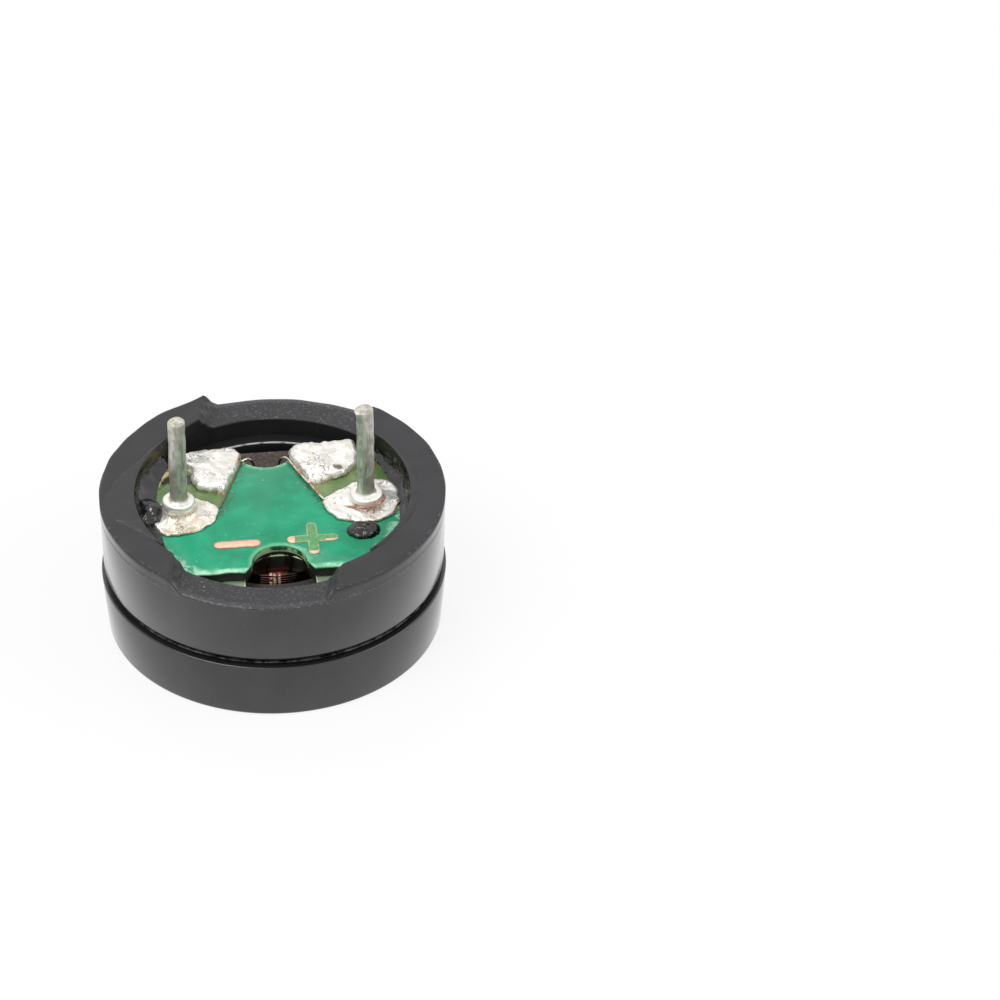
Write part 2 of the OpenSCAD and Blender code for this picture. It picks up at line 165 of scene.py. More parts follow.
# a material with its coordinates in millimetres of the part's own frame
class Finish(Nodes):
    def __init__(self, name):
        self.material = bpy.data.materials.new(name)
        self.material.use_nodes = True
        super().__init__(self.material.node_tree)
        self.shader = self.tree.nodes["Principled BSDF"]
        place = self.add("ShaderNodeTexCoord", {}, {}, "Object")
        self.spot = self.add("ShaderNodeMapping", {}, {"Vector": place, "Scale": (1 / mm, 1 / mm, 1 / mm)})
        self.x, self.y, self.z = [self.add("ShaderNodeSeparateXYZ", {}, {"Vector": self.spot}, axis)
                                  for axis in "XYZ"]

    def grain(self, scale, detail=2.0, rough=0.5, warp=0.0, stretch=(1, 1, 1)):
        spot = self.add("ShaderNodeMapping", {}, {"Vector": self.spot, "Scale": stretch})
        inputs = {"Vector": spot, "Scale": scale, "Detail": detail, "Roughness": rough, "Distortion": warp}
        return self.add("ShaderNodeTexNoise", {}, inputs, "Fac")

    def cells(self, scale):
        return self.add("ShaderNodeTexVoronoi", {}, {"Vector": self.spot, "Scale": scale}, "Distance")

    def fromPoint(self, x, y):          # distance from an upright line, in mm
        offset = self.add("ShaderNodeVectorMath", {"operation": "SUBTRACT"}, {0: self.spot, 1: (x, y, 0)})
        flat = self.add("ShaderNodeVectorMath", {"operation": "MULTIPLY"}, {0: offset, 1: (1, 1, 0)})
        return self.add("ShaderNodeVectorMath", {"operation": "LENGTH"}, {0: flat}, "Value")

    def fromBar(self, x, y, reachX, reachY):    # distance from a short bar's middle line, in mm
        overX = (abs(self.x - x) - reachX).atLeast(0)
        overY = (abs(self.y - y) - reachY).atLeast(0)
        return (overX * overX + overY * overY).root()

    def pastLandEdge(self):             # distance into the lands from their sloping inner edges, in mm
        run, rise = land["frontX"] - land["rearX"], land["bendY"]
        length = math.hypot(run, rise)
        return (abs(self.x) - land["rearX"]) * (rise / length) + (self.y - rise) * (run / length)

    def blend(self, factor, first, second):     # colours are links or display tones
        first, second = [shade if isinstance(shade, Value) else tone(*shade) for shade in (first, second)]
        return self.add("ShaderNodeMix", {"data_type": "RGBA"}, {0: factor, 6: first, 7: second}, 2)

    def layers(self, colour, *coats):   # each coat is its cover and its colour, over the one before
        for cover, shade in coats:
            colour = self.blend(cover, colour, shade)
        return colour

    def bump(self, height, depth):      # depth in mm
        return self.add("ShaderNodeBump", {}, {"Strength": 1.0, "Distance": depth * mm, "Height": height})

    def surface(self, **inputs):
        for key, value in inputs.items():
            self.feed(self.shader.inputs[key.replace("_", " ")], value)
        return self.material


# modelling helpers
def selectOnly(piece):
    bpy.ops.object.select_all(action="DESELECT")
    piece.select_set(True)
    bpy.context.view_layer.objects.active = piece


def addObject(name, data):
    thing = bpy.data.objects.new(name, data)
    bpy.context.scene.collection.objects.link(thing)
    return thing


def startPiece(name):                   # one vertex at the origin, in edit mode
    bpy.ops.object.select_all(action="DESELECT")
    bpy.ops.mesh.primitive_plane_add(size=mm, location=(0, 0, 0))
    piece = bpy.context.object
    piece.name = name
    piece.data.name = name
    bpy.ops.object.mode_set(mode="EDIT")
    bpy.ops.mesh.select_mode(type="VERT")
    bpy.ops.mesh.select_all(action="SELECT")
    bpy.ops.mesh.merge(type="CENTER")
    return piece


def pick(kind, rule):                   # selects what the rule holds for, in edit mode
    bpy.ops.mesh.select_mode(type={"verts": "VERT", "edges": "EDGE", "faces": "FACE"}[kind])
    bpy.ops.mesh.select_all(action="DESELECT")
    data = bpy.context.edit_object.data
    mesh = bmesh.from_edit_mesh(data)
    for element in getattr(mesh, kind):
        if rule(element):
            element.select_set(True)
    mesh.select_flush_mode()
    bmesh.update_edit_mesh(data)


def drawOutline(points, closed=True):   # a line of edges from the start vertex
    bpy.ops.transform.translate(value=points[0])
    for here, there in zip(points, points[1:]):
        step = Vector(there) - Vector(here)
        bpy.ops.mesh.extrude_vertices_move(TRANSFORM_OT_translate={"value": step})
    if closed:
        pick("verts", lambda vert: len(vert.link_edges) == 1)
        bpy.ops.mesh.edge_face_add()


def closeMesh():                        # merges the seams and turns the faces outwards
    bpy.ops.mesh.select_mode(type="VERT")
    bpy.ops.mesh.select_all(action="SELECT")
    bpy.ops.mesh.remove_doubles(threshold=0.001 * mm)
    bpy.ops.mesh.normals_make_consistent(inside=False)


# a profile of (radius, height) spun about an upright axis; a part turn gets end faces
def turnPiece(name, profile, steps=192, centre=(0, 0), start=0, span=360):
    piece = startPiece(name)
    onAxis = profile[0][0] == 0
    drawOutline([(r, 0, z) for r, z in profile], closed=not onAxis)
    bpy.ops.mesh.select_all(action="SELECT")
    if span < 360:
        bpy.ops.mesh.edge_face_add()
        bpy.ops.mesh.select_all(action="SELECT")
    bpy.ops.mesh.spin(steps=steps, angle=-math.radians(span), center=(0, 0, 0), axis=(0, 0, 1))
    closeMesh()
    bpy.ops.object.mode_set(mode="OBJECT")
    place = Matrix.Translation((centre[0], centre[1], 0)) @ Matrix.Rotation(math.radians(start), 4, "Z")
    piece.data.transform(place)
    return piece


# an outline of (x, y) as a plate between two heights, its top edge rounded
def platePiece(name, outline, low, high, edge=0.0, segments=2):
    piece = startPiece(name)
    drawOutline([(x, y, high) for x, y in outline])
    bpy.ops.mesh.select_all(action="SELECT")
    bpy.ops.mesh.edge_face_add()
    bpy.ops.mesh.extrude_region_move(TRANSFORM_OT_translate={"value": (0, 0, low - high)})
    closeMesh()
    if edge:
        pick("edges", lambda line: all(abs(vert.co.z - high) < 0.001 * mm for vert in line.verts))
        bpy.ops.mesh.bevel(offset=edge, segments=segments, affect="EDGES")
    bpy.ops.object.mode_set(mode="OBJECT")
    return piece


def cutAway(piece, cutter):
    bpy.context.view_layer.objects.active = piece
    cut = piece.modifiers.new("cut", "BOOLEAN")
    cut.operation = "DIFFERENCE"
    cut.solver = "EXACT"
    cut.object = cutter
    bpy.ops.object.modifier_apply(modifier=cut.name)
    bpy.data.objects.remove(cutter)


def drillHole(piece, r, low, high, steps, centre=(0, 0)):   # cut well past both faces
    profile = [(0, low - mm), (r, low - mm), (r, high + mm), (0, high + mm)]
    cutAway(piece, turnPiece("drill", profile, steps=steps, centre=centre))


def reshape(piece, rule):               # moves every vertex to where the rule puts it
    for vert in piece.data.vertices:
        vert.co = rule(vert.co)
    piece.data.update()


def roughen(piece, coats, seed, where):     # coats of (amount, grain size) in mm, with a seed each
    for amount, grainSize in inMetres(coats):
        shift = Vector((seed * 3.7, seed * 1.3, seed * 2.1))
        normals = [vert.normal.copy() for vert in piece.data.vertices]
        for vert, normal in zip(piece.data.vertices, normals):
            weight = where(vert.co)
            if weight:
                vert.co += normal * (amount * weight * noise.noise(vert.co / grainSize + shift))
        piece.data.update()
        seed += 1


def arcPoints(x, y, r, fromDeg, toDeg, count, ry=None):
    turns = [math.radians(fromDeg + (toDeg - fromDeg) * step / count) for step in range(count + 1)]
    return [(x + r * math.cos(turn), y + (ry or r) * math.sin(turn)) for turn in turns]


def ease(value, low, high):             # 0 at low, 1 at high, smooth between
    share = min(1, max(0, (value - low) / (high - low)))
    return share * share * (3 - 2 * share)


def aboveLevel(level, depth):           # a weight that grows from 0 to 1 over a depth in mm
    return lambda spot: ease(spot.z, level, level + depth * mm)


def hump(value, middle, before, after):  # 1 at the middle, fading over the two widths
    width = before if value < middle else after
    return math.exp(-((value - middle) / width) ** 2)


def wobble(value, seed, size=1.0):
    return noise.noise(Vector((value / size, seed * 7.3, seed * 2.9)))


# smooths a finished piece, gives it its material, hangs it on the root body and hides the frame's parts that
# it stands for
def dress(piece, nodes, material, angle=32):
    selectOnly(piece)
    bpy.ops.object.shade_smooth_by_angle(angle=math.radians(angle))
    piece.data.materials.clear()
    piece.data.materials.append(material)
    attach(piece, "root")
    if nodes:
        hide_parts(*nodes)
    print("made", piece.name, "with", len(piece.data.polygons), "faces")


# black case: satin moulding, grained on the sound face and notch floors; painted shade inside and in the
# seam, painted highlights on the seam flash and the rear shelf edge, and wear with a painted sheen on the
# outer rim edge
def makeCasePlastic():
    finish = Finish("casePlastic")
    z, radius = finish.z, finish.fromPoint(0, 0)
    rimZ, wallR, outerR = inMm.rimTop, inMm.recessR, inMm.caseR
    floorZ, flashZ = rimZ - housing["notchDepth"], inMm.seam + housing["flashUp"]
    grooveR, shelfR = housing["grooveR"], housing["yokeR"] + housing["shelfLip"]
    cloud = finish.grain(0.7, 3)
    fine = finish.grain(9, 3, 0.6)
    pits = finish.grain(22, 2, 0.6)
    specks = finish.grain(6.5, 1, 0.4).above(0.74, 0.79)
    pastWall = radius.above(wallR - 0.02, wallR + 0.04)
    face = z.below(0.01, 0.05) * radius.below(outerR - 0.75, outerR - 0.55)
    notchFloor = z.near(floorZ, 0.05, 0.1) * pastWall
    rim = z.above(rimZ - 0.18, rimZ - 0.05)
    flank = z.above(rimZ - 0.7, rimZ - 0.58) * pastWall * radius.below(outerR - 0.12, outerR - 0.05)
    inside = radius.below(wallR - 0.01, wallR + 0.03) * z.above(1.5, 1.6)
    groove = radius.below(outerR - 0.14, outerR - 0.07) * z.near(inMm.seam + 0.19, 0.17, 0.23)
    grained = face.atLeast(notchFloor)
    matt = grained.atLeast(rim).atLeast(flank).atLeast(inside)
    # the outer rim edge gets lighter specks: partly wear, partly a painted sheen
    outerEdge = radius.above(outerR - 0.1, outerR - 0.06) * radius.below(outerR - 0.025, outerR - 0.01)
    edgeWearAndSheen = outerEdge * z.above(rimZ - 0.6, rimZ - 0.54) * fine.above(0.52, 0.68)
    inGroove = radius.above(grooveR + 0.06, grooveR + 0.14) * radius.below(outerR - 0.14, outerR - 0.1)
    # painted highlight: a lighter broken line along the moulding flash in the seam
    flashHighlight = inGroove * z.near(flashZ, 0.02, 0.035) * finish.grain(2.6, 4, 0.65).above(0.4, 0.62)
    # painted highlight: a bright line along the rear shelf edge
    shelfEdge = radius.near(shelfR, 0.02, 0.05) * z.near(inMm.shelf + 0.02, 0.02, 0.05)
    shelfHighlight = shelfEdge * finish.y.above(3.7, 3.95) * finish.grain(2.4, 3).above(0.3, 0.5)
    colour = finish.layers(
        finish.blend(cloud.above(0.35, 0.68), (33, 32, 35), (41, 40, 43)),
        (fine.above(0.52, 0.64) * (face * 0.8 + notchFloor * 0.35), (104, 104, 110)),
        # painted shade: the inner wall and the seam groove are darkened near black
        (inside.atLeast(groove) * 0.85, (12, 12, 13)),
        (edgeWearAndSheen * 0.45, (122, 120, 120)),
        (specks * (0.06 + grained * 0.5), (150, 148, 145)),
        (flashHighlight * 0.8, (128, 126, 126)),
        (shelfHighlight, (214, 214, 218)))
    height = fine * (0.16 + grained * 1.1 + face * 0.6 + rim * 0.2) + pits * (0.08 + grained * 0.6)
    roughness = 0.16 + cloud * 0.1 + matt.atLeast(groove) * 0.26 + pits * 0.04
    outerWall = radius.above(outerR - 0.28, outerR - 0.2) * z.below(rimZ - 0.22, rimZ - 0.12)
    return finish.surface(Base_Color=colour, Roughness=roughness, Normal=finish.bump(height, 0.018),
                          Specular_IOR_Level=0.47, Coat_Weight=outerWall * (1 - groove), Coat_IOR=1.28,
                          Coat_Roughness=0.12)


# plated steel: the plate carries a painted reflection of the green board, painted shade on its cut edge and
# round the slot, and painted brownish shade under the rear bay; the diaphragm further in is plain and satin
def makePlatedSteel():
    finish = Finish("platedSteel")
    x, y, z, top = finish.x, finish.y, finish.z, inMm.yokeTop
    rolled = finish.grain(6, 3, 0.6, 0.2, (0.12, 1, 1))
    stain = finish.grain(1.1, 4, 0.6)
    speck = finish.grain(9, 3, 0.6)
    plate = z.above(top - 1.0, top - 0.8)
    # painted shade on the plate's cut edge
    wall = z.below(top - 0.07, top - 0.02) * plate
    # painted shade: the plate under the rear bay is darkened to a brownish tone
    rear = (y + stain * 0.4).above(2.2, 2.6) * z.above(top - 0.1, top - 0.02)
    # painted shade round the slot's edge, left light at two lit spots
    fromSlot = finish.fromPoint(0, -yoke["slotApex"] - yoke["slotHalf"]) - yoke["slotHalf"]
    slot = fromSlot.below(0.1, 0.18) * y.above(-2.75, -2.5) * plate
    lit = x.near(-0.02, 0.2, 0.28).atLeast(x.near(0.7, 0.1, 0.2))
    # painted reflection: the plate is tinted green where it would mirror the board
    greenReflection = finish.blend(stain.above(0.35, 0.7), (214, 234, 206), (178, 206, 170))
    rearShadeBrown = finish.blend(speck.above(0.4, 0.65), (52, 44, 41), (92, 80, 74))
    colour = finish.layers(
        finish.blend(plate, (232, 230, 226), greenReflection),
        (rear, rearShadeBrown),
        (wall * 0.92, (24, 16, 13)),
        (slot * (1 - lit) * 0.9, (46, 32, 26)))
    satin = 1 - plate
    roughness = 0.18 + rolled * 0.14 + stain * 0.1 + rear * 0.3 + satin * 0.3
    metallic = 0.6 - rear * 0.5 - satin * 0.25
    normal = finish.bump(rolled + speck * rear, 0.006)
    return finish.surface(Base_Color=colour, Metallic=metallic, Roughness=roughness, Normal=normal)


# satin ground steel of the armature and the core
def makeGroundSteel():
    finish = Finish("groundSteel")
    ground = finish.grain(16, 3, 0.7)
    cloud = finish.grain(0.9, 3)
    dents = finish.grain(3.4, 2, 0.4).above(0.68, 0.78)
    colour = finish.layers(
        finish.blend(cloud.above(0.3, 0.7), (196, 188, 181), (174, 167, 160)),
        (ground.above(0.48, 0.62) * 0.4, (150, 140, 132)),
        (dents * 0.45, (120, 112, 106)))
    normal = finish.bump(ground - dents * 0.6, 0.007)
    return finish.surface(Base_Color=colour, Metallic=1.0, Roughness=0.34 + ground * 0.14, Normal=normal)


def makeFerrite():
    finish = Finish("ferrite")
    cloud = finish.grain(1.6, 4, 0.6)
    colour = finish.blend(cloud, (46, 42, 40), (66, 61, 57))
    normal = finish.bump(finish.cells(7) + cloud, 0.02)
    return finish.surface(Base_Color=colour, Roughness=0.62 + cloud * 0.2, Normal=normal)


# enamelled copper: painted near black for the shade in the bay, with a painted warm pool of light and a few
# painted glints; tinned where the leads lie on the lands
def makeEnamel():
    finish = Finish("enamelledCopper")
    x, y, z = finish.x, finish.y, finish.z
    cloud = finish.grain(2.4, 3)
    turns = finish.grain(9, 2, 0.5, 0.0, (0.25, 0.25, 1))
    fleck = finish.grain(11, 2, 0.5)
    # painted glints: three columns of bright spots on the coil's front turns
    column = abs(x + 0.28).atMost(abs(x + 0.15)).atMost(abs(x - 0.01))
    broken = (turns * 0.5 + fleck * 0.5).above(0.42, 0.5)
    glint = (column + fleck * 0.06).below(0.055, 0.095) * broken * y.below(-2.4, -2.3)
    # painted pool of light: a warm reddish patch on the coil's front
    glow = (finish.fromPoint(-0.12, -2.35) + cloud * 0.2).below(0.25, 0.7)
    # painted shade: the leads rising in the bay are darkened near black
    shadedRiser = z.above(inMm.yokeLow + 0.005, inMm.yokeLow + 0.06) * y.below(-1.9, -1.6)
    soldered = y.above(-1.2, -0.6) * z.above(inMm.boardTop - 0.05, inMm.boardTop + 0.01)
    bare = finish.blend(fleck.above(0.4, 0.6), (150, 86, 60), (208, 148, 118))
    tinned = finish.blend(cloud.above(0.36, 0.52), (196, 122, 92), (232, 222, 206))
    colour = finish.layers(
        # painted shade: the coil's own colour is darkened near black for the bay it sits in
        finish.blend(cloud, (16, 4, 2), (44, 14, 7)),
        (glow * 0.7, (110, 34, 14)),
        (shadedRiser, (6, 3, 2)),
        (glint, (255, 214, 184)),
        (soldered, finish.blend(x.above(2.4, 2.6), tinned, bare)))
    roughness = 0.16 + turns * 0.14 + shadedRiser * 0.5
    return finish.surface(Base_Color=colour, Metallic=0.75 - glint * 0.65, Roughness=roughness,
                          Normal=finish.bump(turns, 0.008), Coat_Weight=0.6 - shadedRiser * 0.6, Coat_Roughness=0.1)


# green solder mask, paler and thicker along the board's edges and partly a painted sheen there, with painted
# highlight patches; the cut sides are painted near black as painted shade
def makeSolderMask():
    finish = Finish("solderMask")
    y, z, shelf, top = finish.y, finish.z, inMm.shelf, inMm.boardTop
    cloud = finish.grain(0.55, 3, 0.55, 0.3)
    blotch = finish.grain(2.2, 4, 0.6)
    weave = finish.grain(14, 2, 0.5)
    streak = finish.grain(3.0, 4, 0.6, 0.8)
    char = finish.grain(10, 3, 0.6)
    specks = finish.grain(7.5, 1, 0.4).above(0.74, 0.8)
    frontBay = finish.fromPoint(0, board["frontBayY"]) - board["frontBayR"]
    rearBay = finish.fromPoint(0, inMm.flatY) - board["rearBayR"]
    front = y + (inMm.flatY - 0.13)
    # paler along the edges and bays: partly thinner mask, partly a painted sheen
    lip = (front.atMost(frontBay).atMost(rearBay) + blotch * 0.2).below(0.1, 0.32)
    # painted highlight patches along the rear bay, the front edge and the sides
    rearLipSheen = (rearBay + blotch * 0.2).below(0.12, 0.24) * streak.above(0.42, 0.58)
    frontLipSheen = (front + streak * 0.3).below(0.2, 0.42) * blotch.above(0.4, 0.6)
    outward = finish.fromPoint(0, 0) + streak * 0.5
    sideLipSheen = outward.above(inMm.boardR - 0.4, inMm.boardR - 0.1) * streak.above(0.46, 0.6)
    beside = (finish.pastLandEdge() + streak * 0.5).above(-0.1, 0.2) * y.above(-0.6, 0.0)
    green = finish.layers(
        finish.blend(cloud.above(0.3, 0.72), (2, 139, 98), (20, 168, 124)),
        (blotch.above(0.5, 0.75) * 0.3, (60, 176, 136)),
        (lip * (0.35 + streak * 0.7), (128, 202, 156)),
        (rearLipSheen.atLeast(frontLipSheen).atLeast(sideLipSheen * 0.7), (180, 236, 200)),
        (specks * 0.5, (160, 220, 190)),
        (beside * char.above(0.48, 0.58) * 0.85, (48, 62, 42)),
        (beside * char.above(0.62, 0.68), (196, 170, 140)))
    core = z.below(top - 0.07, top - 0.02)
    bayWall = frontBay.near(0, 0.03, 0.07) * z.above(shelf + 0.07, shelf + 0.1)
    edgeLine = z.below(shelf + 0.12, shelf + 0.16) * streak.above(0.4, 0.5)
    # painted shade: the board's cut sides are darkened near black, except the front bay's wall
    shadedFibre = finish.blend(weave, (12, 16, 11), (34, 44, 30))
    resin = finish.blend(blotch.above(0.42, 0.58), (24, 74, 48), (140, 190, 140))
    bayEdge = finish.blend(edgeLine * 0.8, resin, (180, 178, 136))
    colour = finish.blend(core, green, finish.blend(bayWall, shadedFibre, bayEdge))
    height = cloud * 0.7 + blotch * 0.35 + weave * 0.05
    roughness = 0.2 + blotch * 0.12 + core * 0.3
    return finish.surface(Base_Color=colour, Roughness=roughness, Normal=finish.bump(height, 0.03),
                          Specular_IOR_Level=0.35, Coat_Weight=0.12, Coat_Roughness=0.08)


# the lands: copper seen through a thin, stained mask, with dark spots behind the minus pin
def makeLandMask():
    finish = Finish("landMask")
    cloud = finish.grain(1.3, 4, 0.6, 0.4)
    blotch = finish.grain(4.5, 3, 0.6)
    twoSpots = finish.fromPoint(-2.84, 1.95).atMost(finish.fromPoint(-3.3, 1.98))
    spots = twoSpots.atMost(finish.fromPoint(-3.7, 1.95) + 0.06)
    darkPatch = (spots + blotch * 0.16).below(0.3, 0.42)
    border = (finish.pastLandEdge() + blotch * 0.12).below(0.06, 0.16)
    rim = (finish.fromPoint(0, 0) + cloud * 0.3).above(inMm.boardR - 0.44, inMm.boardR - 0.3)
    colour = finish.layers(
        finish.blend(cloud.above(0.3, 0.7), (74, 112, 52), (118, 140, 84)),
        (blotch.above(0.56, 0.72) * 0.8, (96, 70, 38)),
        (darkPatch * 0.92, (44, 22, 17)),
        (border * 0.8, (64, 52, 32)),
        (rim * blotch.above(0.4, 0.5) * finish.x.below(-0.5, 0.5) * 0.9, (236, 216, 164)))
    height = cloud * 0.6 + blotch * 0.5
    return finish.surface(Base_Color=colour, Metallic=0.25, Roughness=0.24 + blotch * 0.2,
                          Normal=finish.bump(height, 0.03), Coat_Weight=0.5, Coat_Roughness=0.1)


# hand-soldered tin: white and smooth, with thin creases, yellow flux and a few pits, painted dark as shade in
# the creases and pits, and a painted greyish reflection
def makeSolder():
    finish = Finish("solderTin")
    crinkle = finish.grain(5.5, 4, 0.6, 0.6)
    folds = finish.grain(1.7, 3, 0.55, 1.4)
    gate = finish.grain(1.3, 2).above(0.46, 0.6)
    # painted shade in the thin creases
    crease = folds.near(0.5, 0.004, 0.03) * gate
    flux = finish.grain(1.5, 3, 0.55, 0.6).above(0.56, 0.72)
    # painted shade: the pits are darkened
    pits = finish.grain(7.0, 2, 0.5, 0.4).above(0.68, 0.75)
    foot = (finish.z + crinkle * 0.05).below(inMm.landTop + 0.065, inMm.landTop + 0.12)
    amber = (finish.fromPoint(-3.0, -0.75) + crinkle * 0.4).below(0.6, 1.3)
    # painted reflection: a greyish mirror patch on the plus pool's right side
    greyReflection = (finish.fromPoint(4.08, 0.25) + crinkle * 0.3).below(0.35, 0.6)
    # painted shade in a deep pit on the plus lump
    hollow = (finish.fromPoint(2.42, 1.72) + crinkle * 0.3).below(0.24, 0.36)
    colour = finish.layers(
        finish.blend(folds.above(0.35, 0.65), (250, 248, 243), (228, 224, 217)),
        (flux * 0.45, (232, 206, 150)),
        (crease * 0.75, (120, 104, 94)),
        (amber * crinkle.above(0.35, 0.6) * 0.6, (216, 190, 146)),
        (greyReflection * 0.55, (150, 150, 148)),
        (foot * (gate + crinkle).above(0.4, 0.9) * 0.55, (190, 146, 100)),
        ((pits * 0.75).atLeast(hollow * 0.85), (74, 60, 52)))
    metallic = 0.62 - flux * 0.2 - pits * 0.3
    roughness = 0.22 + crinkle * 0.2 + flux * 0.1
    height = crinkle * 0.5 + folds * 0.8 - crease * 0.35 - pits * 0.4
    return finish.surface(Base_Color=colour, Metallic=metallic, Roughness=roughness,
                          Normal=finish.bump(height, 0.04))


# dull tinned wire, mottled and streaked along its length, with white solder on the collar
def makeTinnedPin(collarTop):
    finish = Finish("tinnedPin")
    streak = finish.grain(6, 4, 0.6, 0.2, (1, 1, 0.14))
    blotch = finish.grain(3.2, 4, 0.62, 0.3, (1, 1, 0.6))
    scrape = finish.grain(4.5, 3, 0.5, 0.4, (1, 1, 0.25)).above(0.55, 0.64)
    wet = (finish.z + blotch * 0.1).below(collarTop + 0.04, collarTop + 0.16)
    colour = finish.layers(
        finish.blend(blotch.above(0.36, 0.64), (172, 168, 156), (214, 210, 198)),
        (finish.z.below(collarTop + 0.1, collarTop + 1.8) * 0.45, (148, 150, 126)),
        (streak.above(0.54, 0.68) * 0.5, (118, 112, 100)),
        (scrape * 0.55, (236, 232, 224)),
        (wet * 0.9, (248, 245, 238)))
    roughness = 0.42 + streak * 0.16 - wet * 0.16
    height = streak * 0.6 + blotch * 0.7
    return finish.surface(Base_Color=colour, Metallic=0.8 - wet * 0.22, Roughness=roughness,
                          Normal=finish.bump(height, 0.022))


# wet black resin, duller where it is smeared over the rim
def makeResin():
    finish = Finish("blackResin")
    swells = finish.grain(1.4, 3, 0.5, 0.5)
    dust = finish.grain(7, 2, 0.5).above(0.7, 0.78)
    film = finish.fromPoint(0, 0).above(inMm.recessR - 0.08, inMm.recessR + 0.02)
    colour = finish.blend(dust * 0.35, (9, 9, 10), (92, 88, 84))
    ripple = swells + finish.grain(4.5, 2, 0.5, 0.6) * (0.35 - film * 0.3)
    roughness = 0.05 + swells * 0.1 + dust * 0.3 + film * 0.24
    return finish.surface(Base_Color=colour, Roughness=roughness, Normal=finish.bump(ripple, 0.05),
                          Specular_IOR_Level=0.65)


# copper of the two marks, bare where the mask is worn through
def makeMarkCopper(name, bare, low, high, fromMiddle, halfWidth, outlineTone):
    finish = Finish(name)
    patch = finish.grain(1.8, 3, 0.55, 0.3)
    blotch = finish.grain(6, 3, 0.6)
    outline = fromMiddle(finish).above(halfWidth - 0.075, halfWidth - 0.03) * blotch.above(0.3, 0.5)
    worn = (patch + bare(finish)).above(low, high)
    copper = finish.blend(blotch, (255, 214, 190), (236, 178, 152))
    veiled = finish.blend(blotch.above(0.35, 0.7), (74, 150, 92), (116, 170, 112))
    colour = finish.layers(veiled, (worn, copper), (outline * 0.7, outlineTone))
    return finish.surface(Base_Color=colour, Metallic=worn * 0.5, Roughness=0.3 + blotch * 0.2,
                          Normal=finish.bump(blotch, 0.02))


# front cap: a turned cup, with a circled plus sunk into its sound face
cap = dict(holeR=2.3, faceThick=0.7, holeEdge=0.1, footDraft=0.17, footRound=0.14, topRound=0.06, lapR=5.2,
           signX=3.95, signR=1.375, signRing=0.25, armLength=2.0, armWidth=0.46, signDepth=0.09)


def crossOutline(x, length, width):
    corners = [(width / 2, width / 2), (width / 2, length / 2), (-width / 2, length / 2)]
    outline = []
    for quarter in range(4):
        outline += [(x + cornerX, cornerY) for cornerX, cornerY in corners]
        corners = [(-cornerY, cornerX) for cornerX, cornerY in corners]
    return outline


def makeFrontCap():
    size = inMetres(cap)
    foot = arcPoints(caseR - size.footDraft - size.footRound, size.footRound, size.footRound, -90, 0, 6)
    lip = arcPoints(caseR - size.topRound, seamZ - size.topRound, size.topRound, 0, 90, 4)
    hole = arcPoints(size.holeR + size.holeEdge, size.holeEdge, size.holeEdge, 180, 270, 4)
    profile = [(size.holeR, size.faceThick)] + hole + foot + lip
    profile += [(size.lapR, seamZ), (size.lapR, size.faceThick)]
    shell = turnPiece("frontCapShell", profile, steps=256)
    innerR, outerR, sunk = size.signR - size.signRing, size.signR, size.signDepth
    ring = [(innerR, sunk), (innerR, -sunk), (outerR, -sunk), (outerR, sunk)]
    cutAway(shell, turnPiece("signRing", ring, steps=96, centre=(size.signX, 0)))
    cross = crossOutline(size.signX, size.armLength, size.armWidth)
    cutAway(shell, platePiece("signCross", cross, -sunk, sunk))
    dress(shell, ["front_cap"], casePlastic)


# rear housing: a turned ring whose rim drops into two notches with broken flanks
housing = dict(
    draft=0.08, rimRound=0.07, rimFoot=0.04, wallBend=0.75, recessBend=0.62,
    grooveR=5.6, grooveHigh=0.18, seamChamfer=0.16, chamferEdge=0.03, chamferTop=0.05,
    flashR=5.78, flashUp=0.085, flashFoot=0.03, flashTip=0.012,
    spigotR=5.15, spigotLow=1.2, seatR=4.87, seatZ=1.43, magnetR=4.15, yokeR=4.3, shelfLip=0.03,
    notchTop=2.9, notchFloor=2.45, notchDepth=0.5, rearShift=0.2, cutDeep=0.2,
    flankAt=2.7, flankHalf=0.45, flankDeep=0.3, burr=0.08, burrInner=0.06, burrOuter=0.3,
    brokenAt=2.68, brokenNear=0.2, brokenFar=0.5, roughLow=0.7, roughFull=0.4,
    flankCoats=[(0.055, 0.27)], rimCoats=[(0.03, 0.9)])
notchTurn = math.radians(-12)


